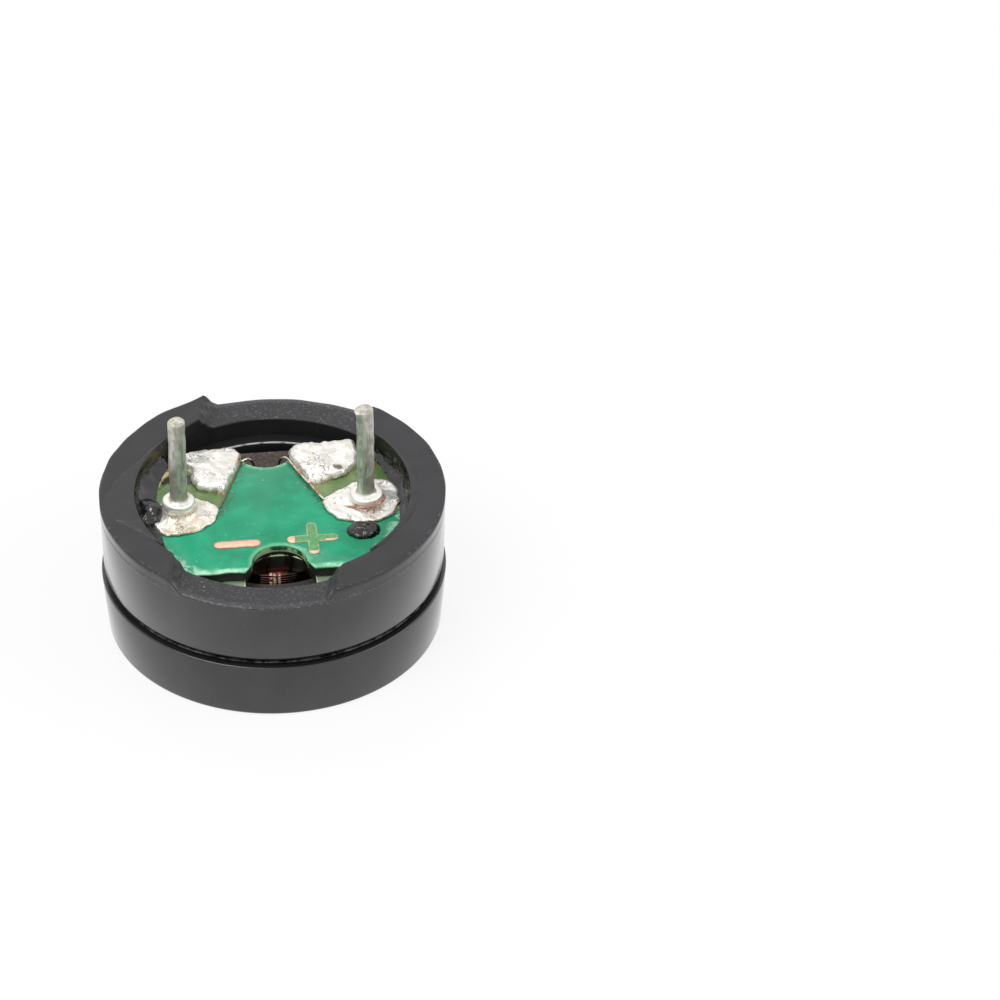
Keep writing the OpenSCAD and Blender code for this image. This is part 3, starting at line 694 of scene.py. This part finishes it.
def makeRearHousing():
    size = inMetres(housing)
    rim, lip = size.rimRound, size.shelfLip
    lowR = caseR - size.draft
    grooveTop, flashZ = seamZ + size.grooveHigh, seamZ + size.flashUp
    wallLow, rimLow = grooveTop + size.seamChamfer + size.chamferTop, rimTop - rim - size.rimFoot

    def wallR(z):
        return lowR + (caseR - lowR) * (z - wallLow) / (rimTop - rim - wallLow)

    profile = [(size.spigotR, size.spigotLow), (size.spigotR, seamZ), (size.grooveR, seamZ),
               (size.grooveR, flashZ - size.flashFoot), (size.flashR, flashZ - size.flashTip),
               (size.flashR, flashZ + size.flashTip), (size.grooveR, flashZ + size.flashFoot),
               (size.grooveR, grooveTop), (lowR - size.seamChamfer, grooveTop),
               (lowR - size.chamferEdge, grooveTop + size.seamChamfer - size.chamferEdge), (lowR, wallLow)]
    profile += [(wallR(z), z) for z in (rimTop - size.wallBend, rimLow)]
    profile += arcPoints(caseR - rim, rimTop - rim, rim, 0, 90, 4)
    profile += [(caseR - rim - (caseR - recessR - 2 * rim) * step / 6, rimTop) for step in range(1, 6)]
    profile += arcPoints(recessR + rim, rimTop - rim, rim, 90, 180, 4)
    profile += [(recessR, rimLow), (recessR, rimTop - size.recessBend), (recessR, boardLow),
                (size.yokeR + 2 * lip, boardLow), (size.yokeR + 1.2 * lip, boardLow + lip),
                (size.yokeR + 0.4 * lip, boardLow + lip), (size.yokeR, boardLow), (size.yokeR, yokeLow),
                (size.magnetR, yokeLow), (size.magnetR, size.seatZ), (size.seatR, size.seatZ),
                (size.seatR, size.spigotLow)]
    shell = turnPiece("rearHousingShell", profile, steps=256)
    across = Vector((math.cos(notchTurn), math.sin(notchTurn), 0))
    along = Vector((-math.sin(notchTurn), math.cos(notchTurn), 0))
    low, high, shift = size.notchFloor, size.notchTop, size.rearShift

    def notchReach(spot):               # distance across the notches; the rear left flank stands further out
        reach = spot.dot(across)
        return -reach - shift if reach < 0 < spot.dot(along) else abs(reach)

    def onFlank(face):
        middle = face.calc_center_median()
        return middle.z > rimTop - size.flankDeep and abs(notchReach(middle) - size.flankAt) < size.flankHalf

    def lower(spot):
        if spot.z < rimTop - size.cutDeep:
            return spot
        reach = notchReach(spot)
        share = 1 - min(1, max(0, (reach - low) / (high - low)))
        raised = size.burr * hump(reach, high, size.burrInner, size.burrOuter) if spot.x < 0 < spot.y else 0
        return spot - Vector((0, 0, size.notchDepth * share - raised))

    def brokenFlank(spot):
        offset = abs(notchReach(spot) - size.brokenAt)
        nearby = 1 - ease(offset, size.brokenNear, size.brokenFar)
        return nearby * ease(spot.z, rimTop - size.roughLow, rimTop - size.roughFull)

    bpy.ops.object.mode_set(mode="EDIT")
    for reach in (low, high, -low, -high, -low - shift, -high - shift):
        bpy.ops.mesh.select_all(action="SELECT")
        bpy.ops.mesh.bisect(plane_co=across * reach, plane_no=across)
    pick("faces", onFlank)
    bpy.ops.mesh.subdivide(number_cuts=2)
    bpy.ops.object.mode_set(mode="OBJECT")
    reshape(shell, lower)
    roughen(shell, housing["flankCoats"], 1, brokenFlank)
    roughen(shell, housing["rimCoats"], 2, aboveLevel(rimTop - size.roughLow, 0.2))
    dress(shell, ["rear_housing"], casePlastic)


# circuit board: flats, bays and holes, its front edge a little ragged from the cut
board = dict(frontBayR=0.95, frontBayY=-2.98, mouth=1.2, rearBayR=1.0, holeR=0.32, edge=0.04, setBack=0.04,
             ragged=0.09)


def makeBoard():
    size = inMetres(board)
    cornerX = math.sqrt(boardR ** 2 - flatY ** 2)
    corner = math.degrees(math.acos(cornerX / boardR))
    frontY = size.setBack - flatY

    def frontEdge(fromX, toX, steps=22):
        edge = [fromX + (toX - fromX) * step / steps for step in range(1, steps)]
        return [(x, frontY + size.ragged * wobble(x / mm, 3, 0.7)) for x in edge]

    outline = [(size.mouth, frontY)] + frontEdge(size.mouth, cornerX)
    outline += arcPoints(0, 0, boardR, -corner, corner, 40)
    outline += arcPoints(0, flatY, size.rearBayR, 0, -180, 32)
    outline += arcPoints(0, 0, boardR, 180 - corner, 180 + corner, 40)
    outline += frontEdge(-cornerX, -size.mouth) + [(-size.mouth, frontY)]
    outline += arcPoints(0, size.frontBayY, size.frontBayR, 180, 0, 32)
    plate = platePiece("boardPlate", outline, boardLow, boardTop, size.edge)
    for side in (-1, 1):
        drillHole(plate, size.holeR, boardLow, boardTop, 32, (side * pinX, 0))
    dress(plate, ["circuit_board"], solderMask)


# copper lands of the two sides
land = dict(inset=0.06, rearX=0.87, frontX=1.87, bendY=2.7, padR=0.98, bayR=1.06, edge=0.012, ragged=0.03)


def makeLand(side, name, node):
    size = inMetres(land)
    outerR, rearY = boardR - size.inset, flatY - size.inset
    rearAngle = math.degrees(math.asin(rearY / outerR))
    bay = math.degrees(math.acos(size.rearX / size.bayR))
    pad = arcPoints(pinX, 0, size.padR, -20, -180, 24)
    outline = arcPoints(0, 0, outerR, rearAngle, -8, 24)
    outline += [(x, y) for x, y in pad if math.hypot(x, y) < outerR]
    for step in range(1, 11):           # the ragged inner edge
        x, y = size.frontX + (size.rearX - size.frontX) * step / 10, size.bendY * step / 10
        outline.append((x + size.ragged * wobble(y / mm, side + 4, 0.3), y))
    outline += arcPoints(0, flatY, size.bayR, -bay, -4, 6) + [(size.bayR, rearY)]
    strip = platePiece(name, [(side * x, y) for x, y in outline], boardTop, landTop, size.edge)
    dress(strip, [node], landMask)


# polarity marks etched in the copper
marks = dict(minusX=-1.37, minusY=-1.85, minusLength=1.65, minusWidth=0.4, plusX=1.24, plusY=-1.79,
             plusLength=1.78, plusWidth=0.38, rise=0.035, sunk=0.01, edge=0.014)


def roundCross(x, y, length, width):
    reach, arm = (length - width) / 2, width / 2
    outline = []
    for turn in (0, 90, 180, 270):
        ahead, inside = math.radians(turn), math.radians(turn + 45)
        endX, endY = x + reach * math.cos(ahead), y + reach * math.sin(ahead)
        outline += arcPoints(endX, endY, arm, turn - 90, turn + 90, 8)
        outline += [(x + arm * 1.414 * math.cos(inside), y + arm * 1.414 * math.sin(inside))]
    return outline


def makeMarks():
    size = inMetres(marks)
    low, top = boardTop - size.sunk, boardTop + size.rise
    minusX, minusY, minusHalf = marks["minusX"], marks["minusY"], marks["minusWidth"] / 2
    plusX, plusY, plusHalf = marks["plusX"], marks["plusY"], marks["plusWidth"] / 2
    minusReach, plusReach = marks["minusLength"] / 2 - minusHalf, marks["plusLength"] / 2 - plusHalf

    def fromBar(finish):
        return finish.fromBar(minusX, minusY, minusReach, 0)

    def fromCross(finish):
        return finish.fromBar(plusX, plusY, plusReach, 0).atMost(finish.fromBar(plusX, plusY, 0, plusReach))

    def bareTips(finish):               # bare at the left and front tips and along the right arm's front edge
        left = finish.x.below(plusX - 0.7, plusX - 0.55)
        front = finish.y.below(plusY - 0.78, plusY - 0.64)
        right = finish.x.above(plusX + 0.3, plusX + 0.5) * finish.y.below(plusY - 0.1, plusY - 0.03)
        return left.atLeast(front).atLeast(right) * 0.55

    endR = size.minusWidth / 2
    reach = size.minusLength / 2 - endR
    bar = arcPoints(size.minusX + reach, size.minusY, endR, -90, 90, 10)
    bar += arcPoints(size.minusX - reach, size.minusY, endR, 90, 270, 10)
    minus = platePiece("minusMark", bar, low, top, size.edge)
    minusCopper = makeMarkCopper("minusCopper", lambda finish: 0.55, 0.55, 0.8, fromBar, minusHalf,
                                 (168, 116, 92))
    dress(minus, [], minusCopper)
    cross = roundCross(size.plusX, size.plusY, size.plusLength, size.plusWidth)
    plus = platePiece("plusMark", cross, low, top, size.edge)
    plusCopper = makeMarkCopper("plusCopper", bareTips, 0.72, 0.9, fromCross, plusHalf, (188, 184, 138))
    dress(plus, [], plusCopper)


# straight pins with an upset collar; the minus tip is round, the plus tip is cut
pin = dict(
    r=0.3, collarR=0.575, collarThick=0.35, collarRound=0.12, collarEdge=0.05, collarFoot=0.06, upset=0.12,
    neck=[(0.08, -0.01), (0.015, 0.08)], plainFrom=0.2, rings=14, tipFlat=0.45,
    burr=(-0.07, -0.02, -0.05), burrHigh=0.24, burrFrom=0.05, burrFull=0.3, collarFade=0.15,
    minusTip=0.11, minusCollar=5.2, plusTip=0.04, plusCollar=5.0,
    wireCoats=[(0.022, 0.34)], collarCoats=[(0.05, 0.4)])


def makePin(side, name, node, tip, collar, seed):
    size = inMetres(pin)
    low, high = heights(node)
    r, collarR, collarRound = size.r, size.collarR, size.collarRound
    tipRound, collarTop = tip * mm, collar * mm
    collarLow = collarTop - size.collarThick
    shaft = high - tipRound - collarTop - size.plainFrom
    profile = [(0, low), (r, low), (r, landTop), (r + size.upset, collarLow),
               (collarR - size.collarEdge, collarLow), (collarR, collarLow + size.collarFoot)]
    profile += arcPoints(collarR - collarRound, collarTop - collarRound, collarRound, 0, 70, 4)
    profile += [(r + out, collarTop + up) for out, up in size.neck]
    profile += [(r, collarTop + size.plainFrom + shaft * step / pin["rings"]) for step in range(pin["rings"])]
    profile += arcPoints(r - tipRound, high - tipRound, tipRound, 0, 90, 4)
    profile += [(r * pin["tipFlat"], high), (0, high)]
    post = turnPiece(name, profile, steps=56, centre=(side * pinX, 0))

    def onCollar(spot):
        return 1 - ease(spot.z, collarTop, collarTop + size.collarFade) if spot.z > collarLow else 0

    def cutBurr(spot):                  # the cutter pressed the tip's left side down and out
        share = ease(spot.z, high - size.burrHigh, high) * ease(pinX - spot.x, size.burrFrom, size.burrFull)
        return spot + Vector(size.burr) * share

    roughen(post, pin["wireCoats"], seed, aboveLevel(collarTop, 0.3))
    roughen(post, pin["collarCoats"], seed + 5, onCollar)
    if side > 0:
        reshape(post, cutBurr)
    dress(post, [node], makeTinnedPin(collar), 50)


# how far an outline of corners reaches from its centre at an angle
def polarReach(corners, centre, angle):
    ray = Vector((math.cos(angle), math.sin(angle)))
    best = 0
    for here, there in zip(corners, corners[1:] + corners[:1]):
        start, along = Vector(here) - Vector(centre), Vector(there) - Vector(here)
        cross = ray.x * along.y - ray.y * along.x
        if abs(cross) < 1e-12:
            continue
        reach = (start.x * along.y - start.y * along.x) / cross
        share = (start.x * ray.y - start.y * ray.x) / cross
        if reach > best and -1e-6 <= share <= 1 + 1e-6:
            best = reach
    return best


def softReach(corners, centre, angle, spread):
    turns = [angle + math.radians(spread * step) for step in (-1, -0.5, 0, 0.5, 1)]
    return sum(polarReach(corners, centre, turn) for turn in turns) / len(turns)


# widens a turned piece so that its outer radius follows an outline, keeping its inner radius
def drawOut(piece, corners, centre, innerR, outerR, spread, seed):
    reaches = {}

    def rule(spot):
        offset = Vector((spot.x - centre[0], spot.y - centre[1]))
        if offset.length <= innerR:
            return spot
        angle = math.atan2(offset.y, offset.x)
        key = round(angle, 3)
        if key not in reaches:
            ragged = 0.04 * wobble(math.cos(angle) * 9, seed) + 0.03 * wobble(math.sin(angle) * 14, seed + 1)
            reaches[key] = softReach(corners, centre, angle, spread) + ragged * mm
        share = (offset.length - innerR) / (outerR - innerR)
        length = innerR + share * (reaches[key] - innerR)
        return Vector((centre[0] + offset.x / offset.length * length,
                       centre[1] + offset.y / offset.length * length, spot.z))

    reshape(piece, rule)


def drawBlob(name, corners, profile, outerR, steps, spread, seed):  # a turned lump drawn out all round
    corners = inMetres(corners)
    centre = [sum(places) / len(corners) for places in zip(*corners)]
    blob = turnPiece(name, profile, steps=steps, centre=centre)
    drawOut(blob, corners, centre, 0.001 * mm, outerR, spread, seed)
    return blob


# solder pools: turned fillets drawn out to the outline that the tin ran to
pools = dict(
    minus=[(-4.1, -0.75), (-3.84, -1.16), (-3.3, -1.2), (-2.62, -1.0), (-2.07, -0.56), (-1.86, 0.1),
           (-2.0, 0.42), (-2.5, 0.75), (-3.1, 0.95), (-3.7, 0.8), (-4.1, 0.3), (-4.22, -0.3)],
    plus=[(1.75, 0.3), (1.91, -0.4), (2.25, -0.88), (2.9, -1.08), (3.55, -1.1), (4.13, -0.77), (4.42, -0.09),
          (4.42, 0.7), (4.06, 1.2), (3.64, 1.3), (2.9, 1.15), (2.3, 0.75)],
    holeR=0.32, filletR=1.032, baseR=1.2, skirt=0.09, coats=[(0.04, 0.5), (0.012, 0.15)])


def makePool(side, name, node, corners, seed):
    size = inMetres(pools)
    low, high = landTop, heights(node)[1]
    centre, collarR, skirt = (side * pinX, 0), pin["collarR"] * mm, size.skirt
    profile = [(size.holeR, low), (size.holeR + pin["upset"] * mm, high)]
    profile += arcPoints(size.filletR, high, size.filletR - collarR, 180, 270, 10, high - low - skirt)
    profile += arcPoints(size.baseR - skirt, low, skirt, 90, 0, 6)
    pool = turnPiece(name, profile, steps=144, centre=centre)
    drawOut(pool, inMetres(corners), centre, collarR, size.baseR, 5, seed)
    roughen(pool, pools["coats"], seed, aboveLevel(low, 0.03))
    dress(pool, [node], solderTin, 60)


# lumps of solder over the coil's leads
lumps = dict(
    minus=[(-2.95, 3.3), (-2.3, 3.38), (-1.06, 3.36), (-0.88, 3.05), (-1.0, 2.45), (-1.38, 1.6),
           (-1.62, 0.92), (-1.95, 1.12), (-2.5, 1.32), (-2.66, 1.75), (-2.62, 2.3), (-2.9, 2.6)],
    plus=[(0.84, 3.0), (1.05, 3.36), (2.0, 3.38), (3.12, 3.36), (3.16, 2.6), (3.08, 2.08), (2.62, 1.62),
          (2.1, 1.4), (1.7, 1.18), (1.36, 1.28), (1.1, 1.95), (0.86, 2.6)],
    baseR=1.0, height=0.34, skirt=0.154, topShares=(0.66, 0.54, 0.42, 0.3, 0.2, 0.1),
    coats=[(0.1, 0.7), (0.04, 0.26), (0.014, 0.1)])


def makeLump(name, node, corners, seed):
    size = inMetres(lumps)
    outer, high, skirt = size.baseR, size.height, size.skirt
    crown = arcPoints(outer - skirt, landTop, skirt, 0, 80, 7, high * 0.8)
    flat = [(outer * share, landTop + high * (1 - 0.2 * share)) for share in lumps["topShares"]]
    profile = [(0, landTop), (outer, landTop)] + crown[1:] + flat + [(0, landTop + high)]
    lump = drawBlob(name, corners, profile, outer, 168, 2, seed)
    roughen(lump, lumps["coats"], seed, aboveLevel(landTop, 0.06))
    dress(lump, [node], solderTin, 60)


# black sealant in the corner between board and wall, smeared over the rim on the left; foot, rise and film
# are each a plain width, its swell, the swell's angle along the run and its fading before and after
sealant = dict(
    skin=0.022, plan=0.5, rows=8, fade=7, bite=0.01, bedLow=0.02, bedSink=0.035,
    corner=0.05, coats=[(0.035, 0.5)],
    left=dict(start=134, span=80, foot=(0.22, 0.56, 50, 38, 26), rise=(0.3, 0.34, 46, 34, 28),
              film=(0.06, 1.02, 50, 22, 15)),
    right=dict(start=310, span=90, foot=(0.18, 0.26, 62, 30, 22), rise=(0.24, 0.4, 64, 32, 22),
               film=(0.05, 0.2, 36, 22, 24)))


def makeSealant(name, node, run, seed):
    skin, plan, rows = sealant["skin"] * mm, sealant["plan"] * mm, sealant["rows"]
    start, span, wall = run["start"], run["span"], recessR
    bite, corner = sealant["bite"] * mm, sealant["corner"] * mm
    shoulder, rimLow, inWall, inBoard = landTop + plan, rimTop - bite, wall + bite, boardR + bite
    bedLow, bedTop = boardLow + sealant["bedLow"] * mm, landTop - sealant["bedSink"] * mm
    profile = arcPoints(wall - plan, shoulder, plan - skin, -90, 0, rows, plan)
    profile += [(wall - skin, shoulder + (rimTop - 0.02 * mm - landTop - plan) * step / 3) for step in (1, 2)]
    profile += [(wall - skin + (plan + skin) * step / rows, rimTop + skin * (1 - (step / rows) ** 3))
                for step in range(rows + 1)]
    profile += [(wall + plan, rimLow), (wall + corner, rimLow), (inWall, rimLow - corner),
                (inWall, bedLow), (inBoard, bedLow), (inBoard, bedTop), (wall - plan, bedTop)]
    piece = turnPiece(name, profile, steps=int(span * 2), start=start, span=span)

    def share(key, along):              # of the planned width, at an angle along the run
        base, swell, middle, before, after = run[key]
        fade = ease(along, 0, sealant["fade"]) * ease(span - along, 0, sealant["fade"])
        return (base + swell * hump(along, middle, before, after)) * mm / plan * fade

    def spread(spot):
        along = (math.degrees(math.atan2(spot.y, spot.x)) - start) % 360
        length = math.hypot(spot.x, spot.y)
        radius, z = length, spot.z
        if radius < boardR:
            radius = wall + (radius - wall) * (share("foot", along) + 0.1)
        if landTop < z < rimTop - 0.03 * mm and radius < wall:
            z = landTop + (z - landTop) * (1 if z > shoulder else share("rise", along) + 0.02)
        if radius > wall and z > rimTop - corner:
            radius = wall + (radius - wall) * max(0.06, share("film", along))
        return Vector((spot.x, spot.y, 0)) / length * radius + Vector((0, 0, z))

    def onFillet(spot):
        return (ease(spot.z, landTop, landTop + 0.1 * mm)
                * (1 - ease(spot.z, rimTop - 0.3 * mm, rimTop - 0.1 * mm)))

    reshape(piece, spread)
    roughen(piece, sealant["coats"], seed, onFillet)
    dress(piece, [node], blackResin, 60)


# drops of resin: the dot in front of the plus pin, and a run that reaches the minus collar
drops = dict(
    dot=arcPoints(3.03, -1.52, 0.57, 0, 345, 23, 0.5),
    run=[(-4.74, 0.75), (-4.3, 0.95), (-3.95, 0.62), (-3.74, 0.3), (-3.72, -0.05), (-3.82, -0.34),
         (-4.05, -0.52), (-4.4, -0.6), (-4.72, -0.5)],
    baseR=0.5, foot=0.01, dotHigh=0.26, runHigh=0.36, coats=[(0.05, 0.3)])


def makeDrop(name, nodes, corners, base, height, seed):
    outer, low, high = drops["baseR"] * mm, base - drops["foot"] * mm, height * mm
    profile = [(0, low), (outer, low)] + arcPoints(0, base, outer, 0, 84, 10, high) + [(0, base + high)]
    drop = drawBlob(name, corners, profile, outer, 96, 4, seed)
    roughen(drop, drops["coats"], seed + 1, aboveLevel(base, 0.08))
    dress(drop, nodes, blackResin, 60)


# steel plate over the magnet, with the slot for the leads; its rear edge is turned up a little
yoke = dict(slotHalf=1.2, slotApex=2.0, rearFlat=3.9, holeR=1.01, edge=0.08, turnUp=0.05, turnFrom=3.8,
            turnTo=3.86)


def makeYoke():
    size = inMetres(yoke)
    r, half = outerRadius("yoke_plate"), size.slotHalf
    mouth = math.degrees(math.asin(half / r))
    rear = math.degrees(math.asin(size.rearFlat / r))
    outline = arcPoints(0, 0, r, -90 + mouth, rear, 48) + arcPoints(0, 0, r, 180 - rear, 270 - mouth, 48)
    outline += arcPoints(0, -size.slotApex - half, half, 180, 0, 32)
    plate = platePiece("yokeSheet", outline, yokeLow, yokeTop, size.edge, 3)
    drillHole(plate, size.holeR, yokeLow, yokeTop, 64)

    def turnUp(spot):
        if spot.z <= yokeTop - 0.03 * mm:
            return spot
        return spot + Vector((0, 0, size.turnUp)) * ease(spot.y, size.turnFrom, size.turnTo)

    reshape(plate, turnUp)
    dress(plate, ["yoke_plate"], platedSteel)


# coil: turns of wire side by side, a few of them riding up
coil = dict(turns=16, coreR=1.01, coats=[(0.03, 0.5)])


def makeCoil():
    low, high = heights("coil_winding")
    r, coreR = outerRadius("coil_winding"), coil["coreR"] * mm
    pitch = (high - low) / coil["turns"]
    profile = [(coreR, high), (coreR, low)]
    for turn in range(coil["turns"]):
        profile += arcPoints(r - pitch / 2, low + pitch * (turn + 0.5), pitch / 2, -70, 70, 5)
    winding = turnPiece("coilTurns", profile, steps=160)

    def onWire(spot):
        ends = ease(spot.z - low, 0, 0.2 * mm) * ease(high - spot.z, 0, 0.2 * mm)
        return ease(math.hypot(spot.x, spot.y), 2 * mm, 2.3 * mm) * ends

    roughen(winding, coil["coats"], 71, onWire)
    dress(winding, ["coil_winding"], enamel, 60)


# coil leads: up through the slot, under the board, out of the rear bay and onto the lands
underBoard, onLand = inMm.yokeTop + 0.05, inMm.landTop + 0.048
leads = dict(
    r=0.04,
    start=[(0.4, -2.35, 3.5), (0.4, -2.35, 3.8), (0.4, -2.3, underBoard - 0.1), (0.4, -2.2, underBoard),
           (0.4, 0, underBoard), (0.4, 2.5, underBoard), (0.4, 2.8, underBoard + 0.05), (0.5, 2.95, 4.35)],
    minusEnd=[(0.6, 2.95, 4.47), (0.74, 2.85, onLand), (0.86, 2.78, onLand), (1.0, 2.72, 4.7)],
    plusEnd=[(0.6, 2.92, 4.47), (0.72, 2.76, onLand), (0.86, 2.43, onLand), (1.14, 1.76, onLand),
             (1.5, 0.95, onLand + 0.01), (1.72, 0.42, onLand + 0.02), (1.95, 0.1, onLand), (2.3, -0.12, 4.52),
             (2.58, -0.3, 4.6), (2.74, -0.42, 4.68), (2.95, -0.57, 4.73), (3.25, -0.64, 4.74),
             (3.55, -0.57, 4.77), (3.78, -0.38, 4.81), (3.88, -0.12, 4.8), (3.84, 0.14, 4.72)])


def makeLead(side, name, node, end):
    path = bpy.data.curves.new(name, "CURVE")
    path.dimensions = "3D"
    path.bevel_depth = leads["r"] * mm
    path.bevel_resolution = 4
    path.resolution_u = 8
    path.use_fill_caps = True
    spline = path.splines.new("BEZIER")
    points = leads["start"] + end
    spline.bezier_points.add(len(points) - 1)
    for knot, (x, y, z) in zip(spline.bezier_points, points):
        knot.co = (side * x * mm, y * mm, z * mm)
        knot.handle_left_type = "AUTO"
        knot.handle_right_type = "AUTO"
    selectOnly(addObject(name, path))
    bpy.ops.object.convert(target="MESH")
    bpy.ops.object.mode_set(mode="EDIT")
    closeMesh()
    bpy.ops.object.mode_set(mode="OBJECT")
    dress(bpy.context.object, [node], enamel, 60)


# pieces inside the case
insides = dict(magnetHoleR=3.0, magnetEdge=0.08, coreEdge=0.08, diaphragmEdge=0.02, armatureEdge=0.12)


def makeInside():
    size = inMetres(insides)

    def roundedRing(node, innerR, edge):
        (low, high), r = heights(node), outerRadius(node)
        lower, upper = [arcPoints(r - edge, z, edge, start, start + 90, 4)
                        for z, start in ((low + edge, -90), (high - edge, 0))]
        return [(innerR, low)] + lower + upper + [(innerR, high)]

    magnet = turnPiece("magnetRing", roundedRing("ring_magnet", size.magnetHoleR, size.magnetEdge))
    dress(magnet, ["ring_magnet"], ferrite)
    core = turnPiece("coreSlug", roundedRing("pole_core", 0, size.coreEdge), 96)
    dress(core, ["pole_core"], groundSteel)
    diaphragm = turnPiece("diaphragmDisc", roundedRing("diaphragm", 0, size.diaphragmEdge))
    dress(diaphragm, ["diaphragm"], platedSteel)
    (low, high), r, edge = heights("armature_disc"), outerRadius("armature_disc"), size.armatureEdge
    profile = [(0, low)] + arcPoints(r - edge, low + edge, edge, -90, 0, 6) + [(r, high), (0, high)]
    dress(turnPiece("armatureDisc", profile), ["armature_disc"], groundSteel)


casePlastic = makeCasePlastic()
platedSteel = makePlatedSteel()
groundSteel = makeGroundSteel()
ferrite = makeFerrite()
enamel = makeEnamel()
solderMask = makeSolderMask()
landMask = makeLandMask()
solderTin = makeSolder()
blackResin = makeResin()
print("materials ready:", len(bpy.data.materials))

makeFrontCap()
makeRearHousing()
makeBoard()
makeLand(-1, "landMinus", "copper_pad_minus")
makeLand(1, "landPlus", "copper_pad_plus")
makeMarks()
makePin(-1, "pinMinusPost", "pin_minus", pin["minusTip"], pin["minusCollar"], 11)
makePin(1, "pinPlusPost", "pin_plus", pin["plusTip"], pin["plusCollar"], 12)
makePool(-1, "pinPoolMinus", "pin_solder_minus", pools["minus"], 21)
makePool(1, "pinPoolPlus", "pin_solder_plus", pools["plus"], 25)
makeLump("leadLumpMinus", "wire_solder_minus", lumps["minus"], 31)
makeLump("leadLumpPlus", "wire_solder_plus", lumps["plus"], 37)
makeSealant("sealantLeft", "sealant_left", sealant["left"], 41)
makeSealant("sealantRight", "sealant_right", sealant["right"], 47)
makeDrop("resinDot", ["epoxy_dot"], drops["dot"], boardTop, drops["dotHigh"], 61)
makeDrop("resinRun", [], drops["run"], landTop, drops["runHigh"], 64)
makeYoke()
makeCoil()
makeLead(-1, "leadMinus", "coil_lead_minus", leads["minusEnd"])
makeLead(1, "leadPlus", "coil_lead_plus", leads["plusEnd"])
makeInside()
print("pieces ready")


# pale floor that keeps the soft shadow; seen directly or in gloss it is close to white
floor = dict(width=2, below=0.01, colour=(0.92, 0.92, 0.93, 1), glow=0.86)


def makeFloor():
    bpy.ops.object.select_all(action="DESELECT")
    bpy.ops.mesh.primitive_plane_add(size=floor["width"], location=(0, 0, 0))
    sheet = bpy.context.object
    sheet.name = "floor"
    sheet.data.transform(Matrix.Translation((0, 0, -floor["below"] * mm)))
    material = bpy.data.materials.new("paleFloor")
    material.use_nodes = True
    nodes = Nodes(material.node_tree)
    matt = nodes.add("ShaderNodeBsdfDiffuse", {}, {"Color": floor["colour"]})
    white = nodes.add("ShaderNodeEmission", {}, {"Strength": 1.0})
    mixed = nodes.add("ShaderNodeMixShader", {}, {0: nodes.seenDirectly() * floor["glow"], 1: matt, 2: white})
    nodes.feed(nodes.tree.nodes["Material Output"].inputs["Surface"], mixed)
    sheet.data.materials.append(material)


def lookAt(thing, spot, aim):           # stands at the spot and looks at the aim
    turn = (Vector(aim) - Vector(spot)).to_track_quat("-Z", "Y")
    thing.matrix_world = Matrix.Translation(spot) @ turn.to_matrix().to_4x4()


# lamps are each a power, a size and a place
studio = dict(
    world=0.62, aim=(0, 0, 0.003),
    lamps=dict(keyLamp=(1.1, 0.30, (-0.22, -0.16, 0.42)), fillLamp=(0.45, 0.30, (0.34, -0.1, 0.26)),
               glintLamp=(0.045, 0.03, (-0.03, 0.12, 0.22))))


def makeLight():
    for name, (power, size, spot) in studio["lamps"].items():
        lamp = bpy.data.lights.new(name, "AREA")
        lamp.energy = power
        lamp.size = size
        lookAt(addObject(name, lamp), spot, studio["aim"])
    world = bpy.data.worlds.new("studioWhite")
    world.use_nodes = True
    nodes = Nodes(world.node_tree)
    background = nodes.tree.nodes["Background"]
    nodes.feed(background.inputs["Color"], (1, 1, 1, 1))
    strength = studio["world"] + nodes.seenDirectly() * (1 - studio["world"])     # white where it is seen
    nodes.feed(background.inputs["Strength"], strength)
    bpy.context.scene.world = world
    bpy.context.scene.view_settings.view_transform = "Standard"


# the photograph's viewing angle; the part stands left of the frame's centre
view = dict(azimuth=-6.0, elevation=37.47, distance=0.25, aim=(0.00808, 0.00152, 0.00306), lens=256.8,
            clip=(0.01, 5))


def makeCamera():
    turn, rise = math.radians(view["azimuth"]), math.radians(view["elevation"])
    back = Vector((math.sin(turn) * math.cos(rise), -math.cos(turn) * math.cos(rise), math.sin(rise)))
    camera = bpy.data.cameras.new("photoCamera")
    camera.lens = view["lens"]
    camera.clip_start, camera.clip_end = view["clip"]
    bpy.context.scene.camera = addObject("photoCamera", camera)
    lookAt(bpy.context.scene.camera, Vector(view["aim"]) + back * view["distance"], view["aim"])


makeFloor()
makeLight()
makeCamera()
print("stage ready")
